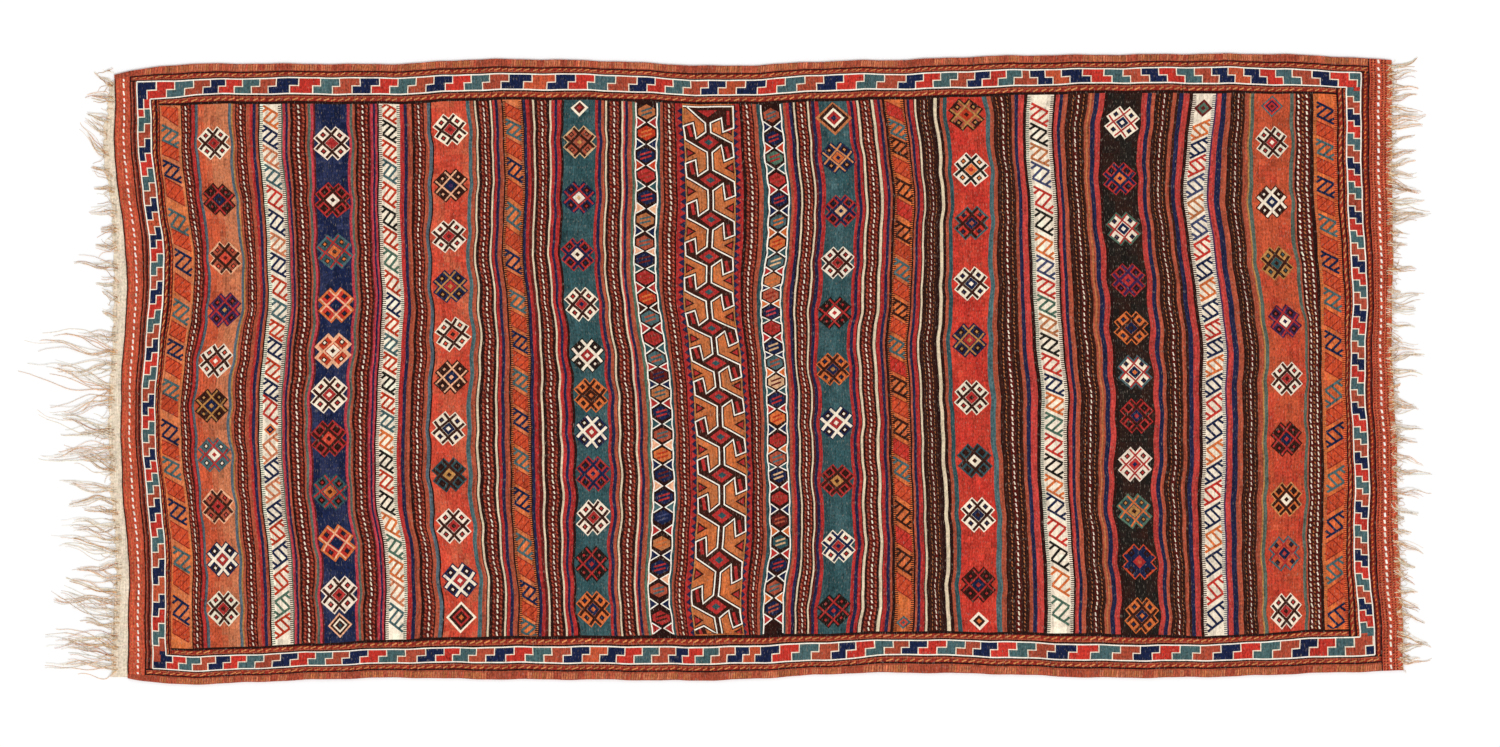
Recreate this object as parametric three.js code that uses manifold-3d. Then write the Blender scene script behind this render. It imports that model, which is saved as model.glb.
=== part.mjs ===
// Soumak rug lying flat: one woven sheet, and a warp fringe along each end.
// Millimetres, +Z up. X runs along the rug and Y across it, both from the middle of the photo
// until the last lines move the whole rug over the origin.

import * as THREE from "three";
import Module from "manifold-3d";
import { mergeVertices } from "three/addons/utils/BufferGeometryUtils.js";

const wasm = await Module();
wasm.setup();

// Driving sizes
const SHEET = 3; // thickness of the plain ground
const RIB = 0.7; // rise of chain bands and of the frame over the ground
const PAD = 1.1; // rise of medallions, hooks and hexagons over the ground
const PAD_ROOT = 1; // how deep a raised figure starts inside the sheet
const GAP = 0.3; // between the sheet and each fringe
const BACKING = 1.8; // thickness of the plain strip that holds a fringe
const BACKING_RIGHT = 7; // width of that strip at the right end
const ROOT_LAP = 6; // how far a strand starts inside its strip

// Lengthwise places on the straight rug: the frame of stepped blocks
const FRAME_LEFT = { outer: -1207, inner: -1181 };
const FRAME_RIGHT = { inner: 1204, outer: 1232 };

// Where the photo's warps cross each band: the band's place u on the straight rug, then its X at
// each of these heights v. The rows run from the left end to the right end.
const HEIGHTS = [547, 447, 347, 247, 147, 47, -53, -153, -253, -353, -453, -533];
const BAND_LINES = {
  left_edge: [-1254, [-1270, -1271, -1259, -1248, -1247, -1255, -1258, -1257, -1252, -1242, -1243, -1244]],
  frame_left: [-1194, [-1212, -1208, -1196, -1185, -1189, -1197, -1203, -1199, -1189, -1182, -1182, -1181]],
  orange_1: [-1146, [-1160, -1158, -1147, -1133, -1137, -1151, -1160, -1157, -1144, -1136, -1138, -1136]],
  salmon: [-1061, [-1074, -1071, -1060, -1049, -1049, -1067, -1077, -1071, -1063, -1054, -1052, -1048]],
  ivory_1: [-948, [-959, -958, -948, -943, -941, -952, -959, -958, -951, -939, -935, -933]],
  navy: [-832, [-838, -836, -834, -830, -827, -834, -843, -841, -837, -822, -821, -819]],
  ivory_2: [-718, [-722, -720, -721, -718, -713, -719, -724, -727, -725, -708, -706, -708]],
  coral_1: [-595, [-603, -597, -599, -602, -597, -594, -601, -602, -597, -586, -577, -580]],
  orange_2: [-460, [-476, -471, -470, -475, -465, -459, -459, -457, -456, -451, -441, -443]],
  teal_1: [-326, [-341, -341, -342, -345, -337, -326, -318, -315, -312, -317, -314, -307]],
  hexagons_1: [-190, [-206, -208, -207, -211, -205, -189, -178, -175, -172, -178, -182, -171]],
  hooks: [-70, [-86, -81, -78, -81, -82, -70, -62, -57, -56, -60, -68, -60]],
  hexagons_2: [51, [41, 49, 58, 53, 41, 48, 54, 55, 59, 60, 47, 47]],
  teal_2: [172, [164, 174, 182, 177, 172, 164, 172, 173, 175, 177, 170, 162]],
  orange_3: [302, [287, 299, 309, 305, 302, 294, 300, 302, 305, 308, 309, 305]],
  coral_2: [446, [428, 438, 444, 441, 442, 438, 443, 447, 454, 458, 456, 461]],
  ivory_3: [601, [581, 577, 586, 589, 593, 599, 609, 607, 610, 617, 622, 619]],
  black: [763, [751, 740, 740, 750, 759, 764, 772, 772, 767, 776, 783, 782]],
  ivory_4: [918, [909, 898, 890, 903, 916, 929, 927, 929, 925, 927, 930, 932]],
  rust: [1062, [1044, 1043, 1042, 1048, 1061, 1074, 1072, 1072, 1072, 1068, 1071, 1073]],
  orange_4: [1163, [1149, 1150, 1151, 1158, 1164, 1166, 1167, 1170, 1171, 1168, 1171, 1174]],
  frame_right: [1218, [1207, 1207, 1209, 1214, 1220, 1216, 1215, 1221, 1224, 1221, 1227, 1235]],
  right_edge: [1290, [1284, 1283, 1284, 1286, 1284, 1283, 1287, 1293, 1294, 1297, 1302, 1306]],
};

// The same for the lines that run along the rug: place v, then Y at each of these lengths X.
const LENGTHS = [-1275, -1180, -1100, -900, -700, -540, -300, -60, 180, 300, 500, 700, 940, 1100, 1290];
const EDGE_LINES = {
  top_edge: [624, [597, 614, 619, 619, 619, 628, 625, 615, 625, 627, 635, 637, 639, 637, 626]],
  frame_top_outer: [596, [581, 584, 587, 591, 591, 598, 597, 585, 598, 598, 606, 609, 612, 607, 597]],
  frame_top_inner: [565, [545, 549, 558, 559, 559, 567, 566, 556, 567, 569, 574, 581, 580, 576, 570]],
  field_top: [546, [533, 535, 538, 539, 539, 546, 546, 538, 545, 548, 555, 560, 560, 559, 557]],
  field_bottom: [-524, [-547, -548, -549, -541, -531, -526, -524, -523, -519, -515, -517, -520, -524, -514, -507]],
  frame_low_inner: [-544, [-561, -563, -566, -558, -551, -548, -546, -547, -537, -533, -536, -543, -542, -531, -523]],
  frame_low_outer: [-575, [-590, -591, -594, -585, -578, -577, -579, -580, -571, -561, -567, -573, -573, -568, -561]],
  low_edge: [-606, [-603, -619, -621, -613, -608, -611, -612, -613, -600, -598, -601, -608, -606, -600, -594]],
};

// Chain bands: the place u of each one's middle on the straight rug
const CHAINS = [
  -1116, -1005, -895, -769, -656, -522, -399, -256, -144, 6, 114, 238, 362, 521, 676, 842, 990, 1120,
];
const CHAIN_HALF = 10;
const CHAIN_SLOPE = 2.5;

// Medallion bands: the size of a medallion along X and along Y, then the height Y of each one
const MEDALLIONS = {
  salmon: [58, 62, [461, 348, 230, 127, 26, -64, -163, -266, -371, -470]],
  navy: [72, 60, [460, 346, 244, 137, 45, -43, -130, -236, -339, -443]],
  coral_1: [68, 64, [487, 376, 275, 174, 78, -7, -110, -203, -305, -413]],
  teal_1: [60, 64, [463, 352, 237, 138, 37, -43, -117, -201, -288, -380, -471]],
  teal_2: [64, 60, [431, 325, 222, 121, 8, -98, -214, -346, -474]],
  coral_2: [64, 64, [517, 407, 301, 180, 66, -48, -174, -283, -422]],
  black: [66, 60, [502, 389, 289, 187, 91, 2, -85, -181, -275, -377, -484]],
  rust: [62, 58, [462, 342, 221, 105, -11, -131, -251, -360, -475]],
};

// Single diamonds that fill the ends of those bands: band, size along X, size along Y, height Y
const DIAMONDS = [
  ["navy", 46, 40, -505],
  ["coral_1", 60, 58, -487],
  ["teal_1", 34, 30, 531],
  ["teal_2", 64, 60, 511],
  ["coral_2", 38, 32, -494],
  ["rust", 44, 40, 535],
];

const HEXAGONS = { bands: ["hexagons_1", "hexagons_2"], count: 26, pitch: 40.5, top: 516, size: [36, 30] };
const HOOKS = { count: 14, pitch: 75, top: 500, reach: 46 };

// Tufts of fringe: height Y of the root, reach along X, rise of the tip along Y
const TUFTS_LEFT = [
  [577, 30, 22], [547, 44, 14], [507, 36, 16], [477, 40, 30], [437, 62, 44], [397, 30, 14],
  [367, 30, 6], [323, 46, 8], [291, 24, 0], [257, 36, -6], [211, 76, 22], [177, 34, 10],
  [147, 28, 10], [111, 24, 6], [75, 68, -8], [43, 176, -8], [15, 110, -4], [-29, 182, 6],
  [-52, 120, 4], [-109, 154, 2], [-127, 100, 0], [-149, 158, 2], [-169, 60, -2], [-193, 104, 12],
  [-233, 108, 26], [-257, 84, 6], [-277, 60, 0], [-303, 108, -16], [-331, 90, -4], [-357, 130, 0],
  [-385, 60, 4], [-409, 90, 0], [-437, 100, 6], [-457, 132, 18], [-480, 134, 22], [-504, 70, 6],
  [-526, 92, -6], [-549, 140, -2], [-569, 120, -4], [-589, 130, -8],
];
const TUFTS_RIGHT = [
  [612, 54, 14], [593, 50, 12], [571, 52, 6], [549, 50, 4], [531, 62, 6], [511, 68, 0],
  [495, 62, -6], [457, 50, 6], [437, 54, 0], [415, 52, 4], [400, 52, -6], [383, 60, -6],
  [367, 50, -8], [347, 62, -14], [327, 72, -16], [305, 76, -6], [285, 34, -8], [261, 30, -4],
  [207, 46, 4], [167, 20, 0], [147, 64, -2], [127, 48, -4], [97, 46, -4], [77, 26, -8],
  [47, 60, 0], [27, 66, -4], [5, 60, -8], [-23, 16, 0], [-51, 54, -6], [-71, 42, 0],
  [-109, 54, 10], [-137, 42, -2], [-163, 52, -24], [-189, 66, -24], [-233, 66, -26], [-263, 40, -22],
  [-293, 14, 0], [-313, 26, -8], [-339, 52, -12], [-371, 34, -10], [-395, 36, -14], [-433, 34, -8],
  [-453, 40, -12], [-477, 48, -16], [-521, 62, -8], [-549, 46, -4], [-571, 56, -10],
];
const SKIRT_LEFT = [-1282, -1294, -1278, -1273, -1273, -1276, -1282, -1282, -1276, -1268, -1270, -1276];
const STRAND = { root: 2.4, tip: 1.0, high: 1.6, low: 0.8, apart: 4.4, steps: 3 };

// A smooth curve through values at falling or rising stations, read at s
function through(stations, values, s) {
  const rising = stations[1] > stations[0];
  const last = stations.length - 1;
  let i = 0;
  while (i < last - 1 && (rising ? s > stations[i + 1] : s < stations[i + 1])) {
    i += 1;
  }
  const slope = (k) => {
    const a = Math.max(k - 1, 0);
    const b = Math.min(k + 1, last);
    return (values[b] - values[a]) / (stations[b] - stations[a]);
  };
  const span = stations[i + 1] - stations[i];
  const t = Math.min(Math.max((s - stations[i]) / span, 0), 1);
  const swing = t * t * (3 - 2 * t);
  const bend = t * (1 - t) * ((1 - t) * slope(i) - t * slope(i + 1)) * span;
  return values[i] * (1 - swing) + values[i + 1] * swing + bend;
}

// Where a place of the straight rug lies along one family of lines, between its two nearest ones
function between(lines, stations, place, s) {
  const rows = Object.values(lines);
  let i = 0;
  const rising = rows[1][0] > rows[0][0];
  while (i < rows.length - 2 && (rising ? place > rows[i + 1][0] : place < rows[i + 1][0])) {
    i += 1;
  }
  const share = (place - rows[i][0]) / (rows[i + 1][0] - rows[i][0]);
  const near = through(stations, rows[i][1], s);
  const far = through(stations, rows[i + 1][1], s);
  return near + share * (far - near);
}

// The spot on the floor of place (u, v) of the straight rug
function spot(u, v) {
  const x = between(BAND_LINES, HEIGHTS, u, v);
  return [x, between(EDGE_LINES, LENGTHS, v, x)];
}

// The place v whose spot has height y
function placeAcross(u, y) {
  let v = y;
  for (let turn = 0; turn < 3; turn += 1) {
    v += y - spot(u, v)[1];
  }
  return v;
}

function solidOf(geometry) {
  const bare = new THREE.BufferGeometry();
  bare.setAttribute("position", geometry.getAttribute("position"));
  bare.setIndex(geometry.getIndex());
  const merged = mergeVertices(bare, 1e-4);
  return new wasm.Manifold(
    new wasm.Mesh({
      numProp: 3,
      vertProperties: new Float32Array(merged.attributes.position.array),
      triVerts: new Uint32Array(merged.index.array),
    }),
  );
}

function geometryOf(solid) {
  const mesh = solid.getMesh();
  const geometry = new THREE.BufferGeometry();
  geometry.setAttribute("position", new THREE.BufferAttribute(mesh.vertProperties, 3));
  geometry.setIndex(new THREE.BufferAttribute(mesh.triVerts, 1));
  return geometry;
}

function meshFrom(points, triangles) {
  const geometry = new THREE.BufferGeometry();
  geometry.setAttribute("position", new THREE.Float32BufferAttribute(points.flat(), 3));
  geometry.setIndex(triangles);
  return geometry;
}

// An upright prism over an outline that runs anticlockwise
function prism(outline, low, high) {
  const n = outline.length;
  const points = outline.map(([x, y]) => [x, y, low]);
  outline.forEach(([x, y]) => points.push([x, y, high]));
  const flat = outline.map(([x, y]) => new THREE.Vector2(x, y));
  const triangles = [];
  THREE.ShapeUtils.triangulateShape(flat, []).forEach(([a, b, c]) => {
    triangles.push(a, c, b);
    triangles.push(a + n, b + n, c + n);
  });
  for (let i = 0; i < n; i += 1) {
    const j = (i + 1) % n;
    triangles.push(i, j, j + n, i, j + n, i + n);
  }
  return solidOf(meshFrom(points, triangles));
}

// Columns and rows of the woven sheet's top, each with its rise over the ground
function ribColumns() {
  const left = BAND_LINES.left_edge[0];
  const right = BAND_LINES.right_edge[0];
  const columns = [[left, 0], [FRAME_LEFT.outer - 2, 0], [FRAME_LEFT.outer, RIB]];
  columns.push([FRAME_LEFT.inner, RIB], [FRAME_LEFT.inner + 2, 0]);
  CHAINS.forEach((u) => {
    columns.push([u - CHAIN_HALF, 0], [u - CHAIN_HALF + CHAIN_SLOPE, RIB]);
    columns.push([u + CHAIN_HALF - CHAIN_SLOPE, RIB], [u + CHAIN_HALF, 0]);
  });
  columns.push([FRAME_RIGHT.inner - 2, 0], [FRAME_RIGHT.inner, RIB]);
  columns.push([FRAME_RIGHT.outer, RIB], [FRAME_RIGHT.outer + 2, 0], [right, 0]);
  return columns;
}

function ribRows() {
  const rows = [[EDGE_LINES.low_edge[0], 0], [EDGE_LINES.frame_low_outer[0] - 2, 0]];
  rows.push([EDGE_LINES.frame_low_outer[0], RIB], [EDGE_LINES.frame_low_inner[0], RIB]);
  rows.push([EDGE_LINES.field_bottom[0], 0, "field"]);
  HEIGHTS.slice(1, -1).reverse().forEach((v) => rows.push([v, 0, "field"]));
  rows.push([EDGE_LINES.field_top[0], 0, "field"]);
  rows.push([EDGE_LINES.frame_top_inner[0], RIB], [EDGE_LINES.frame_top_outer[0], RIB]);
  rows.push([EDGE_LINES.frame_top_outer[0] + 2, 0], [EDGE_LINES.top_edge[0], 0]);
  return rows;
}

function riseAt([u, columnRise], [, rowRise, part]) {
  const outside = u < FRAME_LEFT.outer || u > FRAME_RIGHT.outer;
  if (outside) {
    return 0;
  }
  return part === "field" ? columnRise : Math.max(rowRise, 0);
}

function wovenSheet() {
  const columns = ribColumns();
  const rows = ribRows();
  const wide = columns.length;
  const points = [];
  rows.forEach((row) => {
    columns.forEach((column) => {
      points.push([...spot(column[0], row[0]), SHEET + riseAt(column, row)]);
    });
  });
  const triangles = [];
  for (let j = 0; j + 1 < rows.length; j += 1) {
    for (let i = 0; i + 1 < wide; i += 1) {
      const a = j * wide + i;
      triangles.push(a, a + 1, a + wide + 1, a, a + wide + 1, a + wide);
    }
  }
  const rim = [];
  for (let i = 0; i < wide; i += 1) rim.push(i);
  for (let j = 1; j < rows.length; j += 1) rim.push(j * wide + wide - 1);
  for (let i = wide - 2; i >= 0; i -= 1) rim.push((rows.length - 1) * wide + i);
  for (let j = rows.length - 2; j > 0; j -= 1) rim.push(j * wide);
  const foot = points.length;
  rim.forEach((k) => points.push([points[k][0], points[k][1], 0]));
  rim.forEach((k, i) => {
    const next = (i + 1) % rim.length;
    triangles.push(k, foot + i, foot + next, k, foot + next, rim[next]);
  });
  const base = rim.map((k) => new THREE.Vector2(points[k][0], points[k][1]));
  THREE.ShapeUtils.triangulateShape(base, []).forEach(([a, b, c]) => {
    triangles.push(foot + a, foot + c, foot + b);
  });
  return solidOf(meshFrom(points, triangles));
}

// A raised figure: its outline in millimetres about (u, v) of the straight rug
function pad(u, v, outline) {
  return prism(outline.map(([a, b]) => spot(u + a, v + b)), SHEET - PAD_ROOT, SHEET + PAD);
}

// Four lobes round a crossing, drawn for the upper right quarter and turned round
const LOBE = [[0.94, 0.44], [0.5, 1.0], [0.18, 0.8]];

function medallion(u, v, wide, tall) {
  const outline = [];
  for (let turn = 0; turn < 4; turn += 1) {
    const mirror = turn % 2 === 1;
    const across = turn === 1 || turn === 2 ? -1 : 1;
    const up = turn >= 2 ? -1 : 1;
    const quarter = mirror ? [...LOBE].reverse() : LOBE;
    quarter.forEach(([a, b]) => outline.push([(across * a * wide) / 2, (up * b * tall) / 2]));
  }
  return pad(u, v, outline);
}

function diamond(u, v, wide, tall) {
  return pad(u, v, [[wide / 2, 0], [0, tall / 2], [-wide / 2, 0], [0, -tall / 2]]);
}

function hexagon(u, v, [wide, tall]) {
  const half = wide / 2;
  const short = tall / 4;
  return pad(u, v, [
    [half, -short], [half, short], [0, tall / 2], [-half, short], [-half, -short], [0, -tall / 2],
  ]);
}

// A hook beside the middle stem: up its outer side, over the top and back down to the barb
function hook(u, v, side) {
  const r = HOOKS.reach;
  const outline = [
    [4, 4], [4, 24], [16, 29], [20, 8], [r - 14, 14], [r - 4, 26], [r - 12, 40], [r, 34], [r, 10], [r - 6, -2],
    [20, -14],
  ];
  const placed = outline.map(([a, b]) => [side * a, side * b]);
  return pad(u, v, placed.reverse());
}

function wovenRug() {
  let rug = wovenSheet();
  const add = (solid) => {
    rug = rug.add(solid);
  };
  Object.entries(MEDALLIONS).forEach(([band, [wide, tall, heights]]) => {
    const u = BAND_LINES[band][0];
    heights.forEach((y) => add(medallion(u, placeAcross(u, y), wide, tall)));
  });
  DIAMONDS.forEach(([band, wide, tall, y]) => {
    const u = BAND_LINES[band][0];
    add(diamond(u, placeAcross(u, y), wide, tall));
  });
  HEXAGONS.bands.forEach((band) => {
    for (let k = 0; k < HEXAGONS.count; k += 1) {
      add(hexagon(BAND_LINES[band][0], HEXAGONS.top - k * HEXAGONS.pitch, HEXAGONS.size));
    }
  });
  for (let k = 0; k < HOOKS.count; k += 1) {
    const v = HOOKS.top - k * HOOKS.pitch;
    add(hook(BAND_LINES.hooks[0], v, 1));
    add(hook(BAND_LINES.hooks[0], v, -1));
  }
  return rug;
}

// The sheet's left or right edge, from its top corner down
function edgeLine(u) {
  return ribRows().map((row) => spot(u, row[0])).reverse();
}

// A strip of plain weave between two lines that run down from the top
function strip(farLeft, farRight) {
  return prism([...farLeft, ...[...farRight].reverse()], 0, BACKING);
}

// One warp end lying on the floor: a tapered three-sided strand whose flat side is down. It runs
// to the right where side is 1, and to the left where it is -1.
function strand(line, side) {
  const points = [];
  line.forEach(([x, y], i) => {
    const t = i / (line.length - 1);
    const half = (side * (STRAND.root * (1 - t) + STRAND.tip * t)) / 2;
    const high = STRAND.high * (1 - t) + STRAND.low * t;
    points.push([x, y + half, 0], [x, y - half, 0], [x, y, high]);
  });
  const triangles = [0, 1, 2];
  for (let i = 0; i + 1 < line.length; i += 1) {
    for (let k = 0; k < 3; k += 1) {
      const a = 3 * i + k;
      const b = 3 * i + ((k + 1) % 3);
      triangles.push(a, a + 3, b + 3, a, b + 3, b);
    }
  }
  const end = 3 * (line.length - 1);
  triangles.push(end, end + 2, end + 1);
  return solidOf(meshFrom(points, triangles));
}

function fringe(tufts, edgeX, side, backing, perTuft) {
  let solid = backing;
  tufts.forEach(([root, reach, rise]) => {
    for (let k = 0; k < perTuft; k += 1) {
      const aside = (k - (perTuft - 1) / 2) * STRAND.apart;
      const length = reach * (1 - 0.12 * Math.abs(k - 1));
      const start = edgeX(root + aside) - side * ROOT_LAP;
      const line = [[start, root + aside]];
      for (let i = 1; i <= STRAND.steps; i += 1) {
        const t = i / STRAND.steps;
        line.push([start + side * (ROOT_LAP + length * t), root + aside + rise * (0.4 * t + 0.6 * t * t)]);
      }
      solid = solid.add(strand(line, side));
    }
  });
  return solid;
}

function fringeLeft() {
  const inner = edgeLine(BAND_LINES.left_edge[0]).map(([x, y]) => [x - GAP, y]);
  const outerX = (y) => through(HEIGHTS, SKIRT_LEFT, y);
  const backing = strip(inner.map(([, y]) => [outerX(y), y]), inner);
  return fringe(TUFTS_LEFT, outerX, -1, backing, 3);
}

function fringeRight() {
  const inner = edgeLine(BAND_LINES.right_edge[0]).map(([x, y]) => [x + GAP, y]);
  const outerX = (y) => through(HEIGHTS, BAND_LINES.right_edge[1], y) + GAP + BACKING_RIGHT;
  const backing = strip(inner, inner.map(([x, y]) => [x + BACKING_RIGHT, y]));
  return fringe(TUFTS_RIGHT, outerX, 1, backing, 2);
}

function part(name, solid, colour) {
  const material = new THREE.MeshStandardMaterial({ color: colour, roughness: 0.95, metalness: 0 });
  const mesh = new THREE.Mesh(geometryOf(solid), material);
  mesh.name = name;
  return mesh;
}

const group = new THREE.Group();
group.add(part("woven_rug", wovenRug(), "#a8432b"));
group.add(part("fringe_left", fringeLeft(), "#d5c4a6"));
group.add(part("fringe_right", fringeRight(), "#d5c4a6"));

const box = new THREE.Box3().setFromObject(group);
const middle = box.getCenter(new THREE.Vector3());
group.position.set(-middle.x, -middle.y, -box.min.z);

export default group;
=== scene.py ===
"""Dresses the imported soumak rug: striped ground, motifs, frame, selvedges, skirt and fringes.

Lengths are in millimetres on the straight rug until a mesh is built. A place (u, v) of the straight
rug lies u along the rug and v across it. The tables below, which the part's source shares, say
where the real, uneven rug has that place.
"""

import itertools
import math

import bmesh
import bpy
import numpy as np
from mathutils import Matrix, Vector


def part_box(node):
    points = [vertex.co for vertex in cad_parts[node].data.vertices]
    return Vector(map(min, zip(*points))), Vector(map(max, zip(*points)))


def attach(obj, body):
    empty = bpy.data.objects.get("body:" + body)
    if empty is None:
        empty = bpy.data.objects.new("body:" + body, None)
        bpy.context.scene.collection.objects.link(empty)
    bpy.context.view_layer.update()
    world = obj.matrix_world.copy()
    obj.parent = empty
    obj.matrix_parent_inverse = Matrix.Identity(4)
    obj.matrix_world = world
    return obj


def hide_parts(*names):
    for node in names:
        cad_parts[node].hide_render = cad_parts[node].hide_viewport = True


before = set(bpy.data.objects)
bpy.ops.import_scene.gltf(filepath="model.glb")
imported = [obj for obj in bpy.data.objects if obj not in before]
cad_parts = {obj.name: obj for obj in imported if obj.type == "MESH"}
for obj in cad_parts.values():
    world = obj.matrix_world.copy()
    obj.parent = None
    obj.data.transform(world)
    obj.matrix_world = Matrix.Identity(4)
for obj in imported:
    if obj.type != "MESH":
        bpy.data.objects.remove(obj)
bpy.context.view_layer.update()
rng = np.random.default_rng(5775)

# Driving sizes
GROUND = 2.9  # height of the ground between two stripes
DOME = 0.3  # rise of a stripe's middle over its edges
CHAIN_RISE = 0.2  # rise of a chain band over the plain stripes
MOTIF = 3.8  # height of the lowest layer of a figure
LAYER = 0.22  # rise of each further layer
STITCH = 1.0  # rise of a chain's stitches from their feet, which stand just inside the ground
SUNK = 2.4  # how low the foot of a figure starts, inside the ground
ROW_STEP = 12.0  # spacing of the ground's rows in the field
FLAT_WIDTH = 2.3  # a stripe narrower than this has no dome
FIELD_STEP = 14.0  # widest column of the ground
BOW = 4.6  # how far a field's edges swing out at a medallion
BOW_REACH = 22.0
BOW_MEAN = 0.45  # how much of the bow the edge line's mean takes in
SWELL = 0.28  # rise of the cloth's gentle waves
SLANTED_SWELL = 0.7  # size of the waves that run slanting, beside those that run square
PHOTO_MM = 2.0  # size of one pixel of the photo on the rug
PHOTO_WIDE = 1500
MM = 1000  # millimetres in a metre
TONE_LIMITS = (0.003, 0.95)
FIGURE_SPREAD = 0.05  # how much the dye varies within a figure


def rows_of(text):
    """The rows of a table written as text: semicolons between rows, spaces between columns."""
    return [row.split() for row in text.split(";")]


def numbers_of(text):
    return [[float(item) for item in row] for row in rows_of(text)]


def numbers_by_name(text):
    return {name: float(number) for name, number in rows_of(text)}


def lines_of(text):
    """Each line by its name: its place on the straight rug, and where it really lies."""
    return {name: (float(place), [float(at) for at in spots]) for name, place, *spots in rows_of(text)}


# Where the photo's warps cross each band: the band's place u on the straight rug, then its X at
# each of these heights v.
HEIGHTS = [547, 447, 347, 247, 147, 47, -53, -153, -253, -353, -453, -533]
BAND_LINES = lines_of("""
    left_edge -1254 -1270 -1271 -1259 -1248 -1247 -1255 -1258 -1257 -1252 -1242 -1243 -1244;
    frame_left -1194 -1212 -1208 -1196 -1185 -1189 -1197 -1203 -1199 -1189 -1182 -1182 -1181;
    orange_1 -1146 -1160 -1158 -1147 -1133 -1137 -1151 -1160 -1157 -1144 -1136 -1138 -1136;
    salmon -1061 -1074 -1071 -1060 -1049 -1049 -1067 -1077 -1071 -1063 -1054 -1052 -1048;
    ivory_1 -948 -959 -958 -948 -943 -941 -952 -959 -958 -951 -939 -935 -933;
    navy -832 -838 -836 -834 -830 -827 -834 -843 -841 -837 -822 -821 -819;
    ivory_2 -718 -722 -720 -721 -718 -713 -719 -724 -727 -725 -708 -706 -708;
    coral_1 -595 -603 -597 -599 -602 -597 -594 -601 -602 -597 -586 -577 -580;
    orange_2 -460 -476 -471 -470 -475 -465 -459 -459 -457 -456 -451 -441 -443;
    teal_1 -326 -341 -341 -342 -345 -337 -326 -318 -315 -312 -317 -314 -307;
    hexagons_1 -190 -206 -208 -207 -211 -205 -189 -178 -175 -172 -178 -182 -171;
    hooks -70 -86 -81 -78 -81 -82 -70 -62 -57 -56 -60 -68 -60;
    hexagons_2 51 41 49 58 53 41 48 54 55 59 60 47 47;
    teal_2 172 164 174 182 177 172 164 172 173 175 177 170 162;
    orange_3 302 287 299 309 305 302 294 300 302 305 308 309 305;
    coral_2 446 428 438 444 441 442 438 443 447 454 458 456 461;
    ivory_3 601 581 577 586 589 593 599 609 607 610 617 622 619;
    black 763 751 740 740 750 759 764 772 772 767 776 783 782;
    ivory_4 918 909 898 890 903 916 929 927 929 925 927 930 932;
    rust 1062 1044 1043 1042 1048 1061 1074 1072 1072 1072 1068 1071 1073;
    orange_4 1163 1149 1150 1151 1158 1164 1166 1167 1170 1171 1168 1171 1174;
    frame_right 1218 1207 1207 1209 1214 1220 1216 1215 1221 1224 1221 1227 1235;
    right_edge 1290 1284 1283 1284 1286 1284 1283 1287 1293 1294 1297 1302 1306
""")

# The same for the lines that run along the rug: place v, then Y at each of these lengths X.
LENGTHS = [-1275, -1180, -1100, -900, -700, -540, -300, -60, 180, 300, 500, 700, 940, 1100, 1290]
EDGE_LINES = lines_of("""
    low_edge -606 -603 -619 -621 -613 -608 -611 -612 -613 -600 -598 -601 -608 -606 -600 -594;
    frame_low_outer -575 -590 -591 -594 -585 -578 -577 -579 -580 -571 -561 -567 -573 -573 -568 -561;
    frame_low_inner -544 -561 -563 -566 -558 -551 -548 -546 -547 -537 -533 -536 -543 -542 -531 -523;
    field_bottom -524 -547 -548 -549 -541 -531 -526 -524 -523 -519 -515 -517 -520 -524 -514 -507;
    field_top 546 533 535 538 539 539 546 546 538 545 548 555 560 560 559 557;
    frame_top_inner 565 545 549 558 559 559 567 566 556 567 569 574 581 580 576 570;
    frame_top_outer 596 581 584 587 591 591 598 597 585 598 598 606 609 612 607 597;
    top_edge 624 597 614 619 619 619 628 625 615 625 627 635 637 639 637 626
""")
EDGE_AT = {name: place for name, (place, _) in EDGE_LINES.items()}
FIELD_LOW = EDGE_AT["field_bottom"]
FIELD_HIGH = EDGE_AT["field_top"]

# Width of each band between its edge lines
BAND_WIDTHS = numbers_by_name("""
    frame_left 26; orange_1 40; salmon 64; ivory_1 43; navy 67; ivory_2 42; coral_1 72; orange_2 38;
    teal_1 66; hexagons_1 42; hooks 100; hexagons_2 39; teal_2 61; orange_3 37; coral_2 74; ivory_3 52;
    black 72; ivory_4 46; rust 75; orange_4 47; frame_right 28
""")

# Yarn colours, as sRGB
YARNS = """
    ivory EEDEC8; white F8EEE0; cream E2D2BC; peach E2A884; tan CDA57C; gold AE7A42; ochre B06A40;
    orange CB6834; orangered B2341A; red A42A28; coral C44430; scarlet B83026; salmon C0724E;
    rustfield B84E30; rust A04A34; terracotta B5563C; straw D8A574; brick 8A281C; maroon 5A1A16;
    umber 35160E; dark 260D09; black 1B1714; navy 141E3F; slate 3C4262; teal 2B4A4E; greyteal 435D60;
    line 4C5B64; green 4A6656; plum 3A2046; purple 4A2A4C; oxblood 52130C; crimson AE3640; endred B84C34;
    sage 525E54; rose A04430; honey CB8450; indigo 1D1F3E; flame BC4526; bone D8C5A8; rosered B43C36
"""


def linear(code):
    """An sRGB colour code as linear red, green and blue."""
    channels = np.array([int(code[i : i + 2], 16) / 255 for i in (0, 2, 4)])
    return np.where(channels <= 0.04045, channels / 12.92, ((channels + 0.055) / 1.055) ** 2.4)


DYES = {name: linear(code) for name, code in rows_of(YARNS)}


def dyed(yarn, count=1, spread=0.07):
    """The yarn's colour for each of count stitches, a little lighter or darker from one to the next."""
    shade = 1 + spread * rng.standard_normal((count, 1))
    drift = 1 + 0.25 * spread * rng.standard_normal((count, 3))
    return np.clip(DYES[yarn] * shade * drift, *TONE_LIMITS)


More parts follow.
